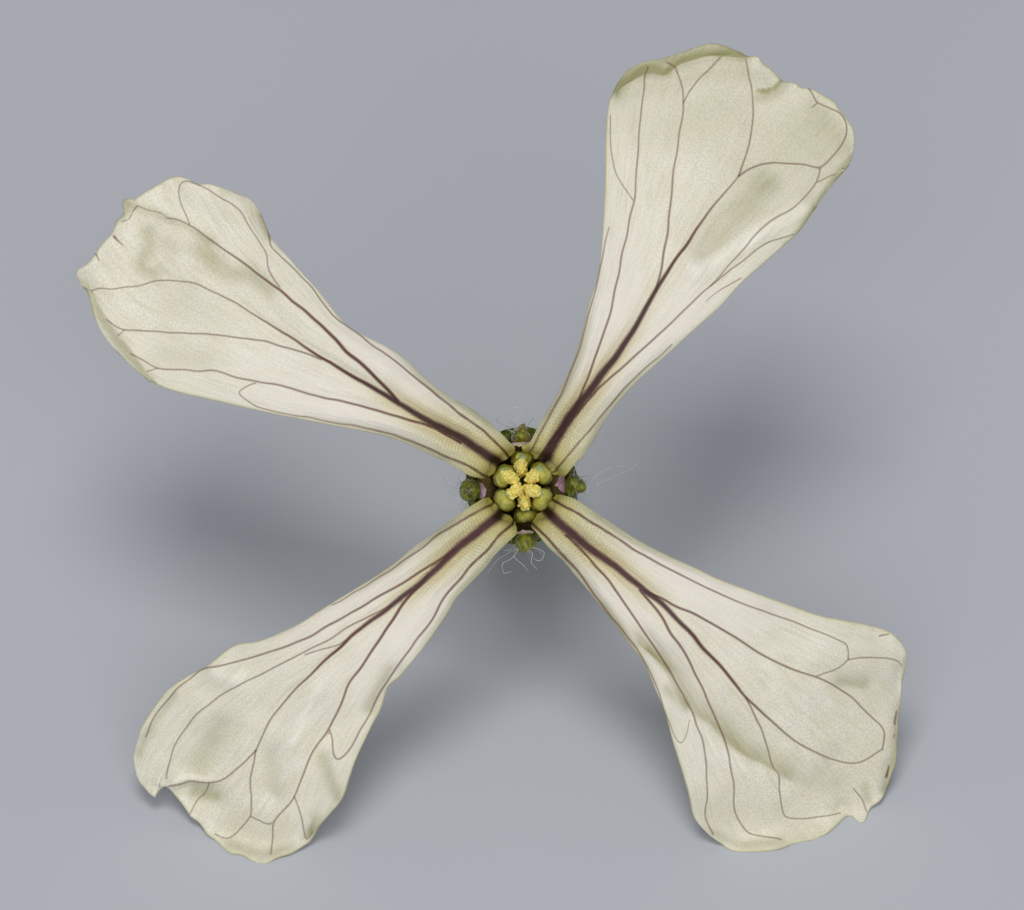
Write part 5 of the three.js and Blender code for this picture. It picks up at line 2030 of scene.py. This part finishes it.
HAIRS = [
    Hairs("top", 92, 211, [
        [(-0.1, 1.6, -0.9), (-0.5, 1.72, -0.6), (-0.7, 1.85, -0.45), (-0.5, 2.12, -0.3),
         (-0.1, 2.22, -0.3),
         (0.05, 2.1, -0.35)],
        [(0.1, 1.6, -0.9), (0.3, 1.9, -0.6), (0.42, 1.75, -0.4), (0.34, 1.58, -0.4)],
        [(-0.2, 1.5, -0.8), (-0.42, 1.62, -0.6), (-0.3, 1.86, -0.5), (-0.05, 1.9, -0.5)]]),
    Hairs("left", 182.5, 223, [
        [(-1.6, 0.0, -0.9), (-1.8, 0.12, -0.7), (-1.95, 0.2, -0.6)],
        [(-1.55, -0.3, -0.9), (-1.8, -0.55, -0.7), (-2.1, -0.62, -0.6), (-2.25, -0.45, -0.55),
         (-2.1, -0.32, -0.6)],
        [(-1.5, -0.35, -0.9), (-1.6, -0.6, -0.7), (-1.9, -0.75, -0.65)]]),
    Hairs("bottom", 272, 227, [
        [(-0.1, -1.7, -0.9), (-0.2, -1.95, -0.75), (0.05, -2.2, -0.7), (0.15, -2.35, -0.7)],
        [(0.2, -1.7, -0.85), (0.45, -1.72, -0.6), (0.62, -1.85, -0.6), (0.5, -2.05, -0.6),
         (0.3, -2.0, -0.6)],
        [(0.1, -1.75, -0.85), (0.3, -1.85, -0.65), (0.25, -2.1, -0.65), (0.42, -2.3, -0.65)],
        [(-0.15, -1.72, -0.9), (-0.4, -1.86, -0.7), (-0.7, -2.05, -0.6), (-0.95, -2.4, -0.6)],
        [(-0.1, -1.75, -0.85), (-0.3, -2.0, -0.65), (-0.55, -2.15, -0.65), (-0.5, -2.4, -0.65),
         (-0.3, -2.35, -0.65)]], 14, 0.85),
    Hairs("right", 3, 229, [
        [(1.7, 0.05, -0.95), (2.1, 0.1, -0.5), (2.6, 0.3, -0.2), (3.05, 0.52, 0.0), (3.2, 0.67, 0.05)],
        [(1.65, 0.1, -0.95), (1.95, 0.22, -0.5), (2.35, 0.5, -0.25), (2.8, 0.58, -0.1), (3.15, 0.5, 0.0)],
        [(1.42, 0.25, -0.8), (1.5, 0.55, -0.6), (1.65, 0.78, -0.5), (1.8, 0.9, -0.45)],
        [(1.65, -0.1, -0.95), (1.85, -0.3, -0.7), (2.0, -0.5, -0.55), (2.05, -0.62, -0.5)]]),
]


@dataclass
class Turned:
    """A piece turned round the flower's axis from a profile of distance and level."""

    node: str
    slot: Slot
    profile: Points
    sides: int
    bumps: float
    seed: int

    STRIDE = 0.08
    # Where the receptacle's top gets painted shade: above this level and within this distance of the axis.
    INNER_LEVEL = -8.9
    INNER_RADIUS = 1.3

    def build(self, look: bpy.types.Material) -> bpy.types.Object:
        """Build the piece.

        Args:
            look: Its material.

        Returns:
            The piece.
        """
        made = bmesh.new()
        stops = []
        for first, second in zip(self.profile, self.profile[1:]):
            pieces = max(2, round(math.dist(first, second) / self.STRIDE))
            for step in range(pieces):
                share = step / pieces
                stops.append([one + (other - one) * share for one, other in zip(first, second)])
        stops.append(list(self.profile[-1]))
        vertices = [made.verts.new((distance, 0, level)) for distance, level in stops]
        edges = [made.edges.new(pair) for pair in zip(vertices, vertices[1:])]
        bmesh.ops.spin(made, geom=vertices + edges, cent=(0, 0, 0), axis=(0, 0, 1), angle=2 * math.pi,
                       steps=self.sides, use_merge=True)
        bmesh.ops.remove_doubles(made, verts=made.verts[:], dist=1e-4)
        bmesh.ops.recalc_face_normals(made, faces=made.faces[:])
        places = places_of(made)
        spokes = places * np.array([1, 1, 0])
        ring = np.maximum(np.linalg.norm(spokes, axis=1, keepdims=True), 1e-6)
        rough = ripple(places * [1, 1, 0.25], 0.35, self.seed) * self.bumps
        places = places + spokes / ring * rough[:, None]
        reshape(made, places)
        made.normal_update()
        # Marks the receptacle's top deep inside the flower for painted shade.
        near_axis = np.hypot(places[:, 0], places[:, 1]) < self.INNER_RADIUS
        note(made, "inner", ((places[:, 2] > self.INNER_LEVEL) & near_axis).astype(float))
        return present(made, f"fine_{self.node}", look, self.node)


PISTIL = Turned(
    "pistil", Slot.PISTIL,
    [(0, WHORL_BASE), (0.24, WHORL_BASE), (0.28, -7.8), (0.29, -6.2), (0.285, -4.6), (0.23, -3.6),
     (0.16, -3.1),
     (0.14, -2.2), (0.14, -1.3), (0.18, -1.0), (0.21, -0.8), (0.19, -0.66), (0.11, -0.58), (0, -0.56)],
    32, 0.008, 307)
STALK = Turned(
    "pedicel_receptacle", Slot.STALK,
    [(0, -11.35), (0.4, -11.35), (0.45, -11.3), (0.44, -10.6), (0.46, -9.95), (0.58, -9.68),
     (0.85, -9.45),
     (1.25, -9.25), (1.5, -9.1), (1.6, -8.95), (1.62, -8.84), (1.56, -8.76), (1.4, -8.75), (0, -8.75)],
    72, 0.022, 311)


@dataclass
class Studio:
    """Pale floor, soft light from nearly overhead, and the camera of the photograph."""

    photo_width: float = 28.44
    sensor: float = 36.0
    aim: Triple = (0, 0, 0.006)
    floor_radius: float = 0.9
    sky: Triple = (0.9, 0.93, 1.0)
    sky_strength: float = 0.25

    def camera(self) -> None:
        """Look straight into the flower's face from the photograph's angle."""
        data = bpy.data.cameras.new("photo_camera")
        data.sensor_width = self.sensor
        data.lens = EYE[2] * self.sensor / self.photo_width
        data.clip_start = 0.001
        camera = linked("photo_camera", data)
        turn = Matrix(LIE.turn.tolist())
        place = LIE.turn @ EYE + LIE.shift
        camera.matrix_world = Matrix.Translation(Vector(place * MM)) @ turn.to_4x4()
        bpy.context.scene.camera = camera

    def light(self, name: str, place: Triple, size: float, power: float, colour: Colour) -> None:
        """Hang one square soft light, turned to the flower.

        Args:
            name: Name of the light.
            place: Where it hangs, in metres.
            size: Its side, in metres.
            power: Its power in watts.
            colour: Its colour.
        """
        data = bpy.data.lights.new(name, "AREA")
        data.size = size
        data.energy = power
        data.color = colour
        light = linked(name, data)
        light.location = place
        towards = Vector(self.aim) - Vector(place)
        light.rotation_euler = towards.to_track_quat("-Z", "Y").to_euler()

    def build(self) -> None:
        """Build the floor, the lights, the surroundings and the camera."""
        made = bmesh.new()
        bmesh.ops.create_circle(made, cap_ends=True, segments=96, radius=self.floor_radius)
        data = bpy.data.meshes.new("studio_floor")
        made.to_mesh(data)
        made.free()
        data.materials.append(FloorFinish().material())
        linked("studio_floor", data)
        self.light("key_light", (-0.02, -0.1, 0.42), 0.16, 0.68, (1.0, 0.985, 0.96))
        self.light("front_fill", (0.0, -0.5, 0.34), 0.5, 1.45, (0.98, 0.99, 1.0))
        world = bpy.data.worlds.new("studio")
        world.use_nodes = True
        background = world.node_tree.nodes["Background"]
        background.inputs["Color"].default_value = (*self.sky, 1)
        background.inputs["Strength"].default_value = self.sky_strength
        bpy.context.scene.world = world
        bpy.context.scene.view_settings.view_transform = "Standard"
        self.camera()


def main() -> None:
    """Build the flower piece by piece, then the studio round it."""
    logging.basicConfig(level=logging.INFO, format="%(message)s")
    for name, (form, finish) in PETALS.items():
        Petal(name, form, finish).build()
    green = SepalFinish().material()
    # The blades get a darker, matt copy of the hood's finish: painted shade.
    dull = SepalFinish(
        "sepal_blade_painted_shade", paint(86, 100, 26), paint(124, 134, 58), paint(56, 68, 12), gloss=0.0).material()
    mauve = TissueFinish("flap_mauve", paint(186, 138, 164), paint(208, 176, 190), 6.0, 18.0).material()
    clear = TissueFinish("flap_clear", paint(176, 148, 132), paint(206, 188, 164), 6.0, 18.0).material()
    for sepal in SEPALS:
        sepal.blade(dull)
        sepal.knobs(green)
        sepal.flap(clear if sepal.pouch else mauve)
    wall = AntherFinish().material()
    dust = PollenFinish().material()
    thread = TissueFinish("filament_pale", paint(206, 212, 150), paint(184, 194, 110), 2.0, 16.0)
    thread = thread.material()
    for stamen in STAMENS:
        stamen.anther(wall)
        stamen.pollen(dust)
        stamen.filament(thread)
    PISTIL.build(TissueFinish("pistil_green", paint(110, 118, 24), paint(74, 82, 8), 3.0).material())
    # The receptacle's top, deep inside the flower, gets brown painted shade.
    stalk = TissueFinish(
        "stalk_green", paint(128, 142, 52), paint(96, 114, 30), 2.0, 12.0, 0.04, painted_inner_shade=True)
    STALK.build(stalk.material())
    hair = HairFinish().material()
    for hairs in HAIRS:
        hairs.build(hair)
    Studio().build()


if __name__ == "__main__":
    main()
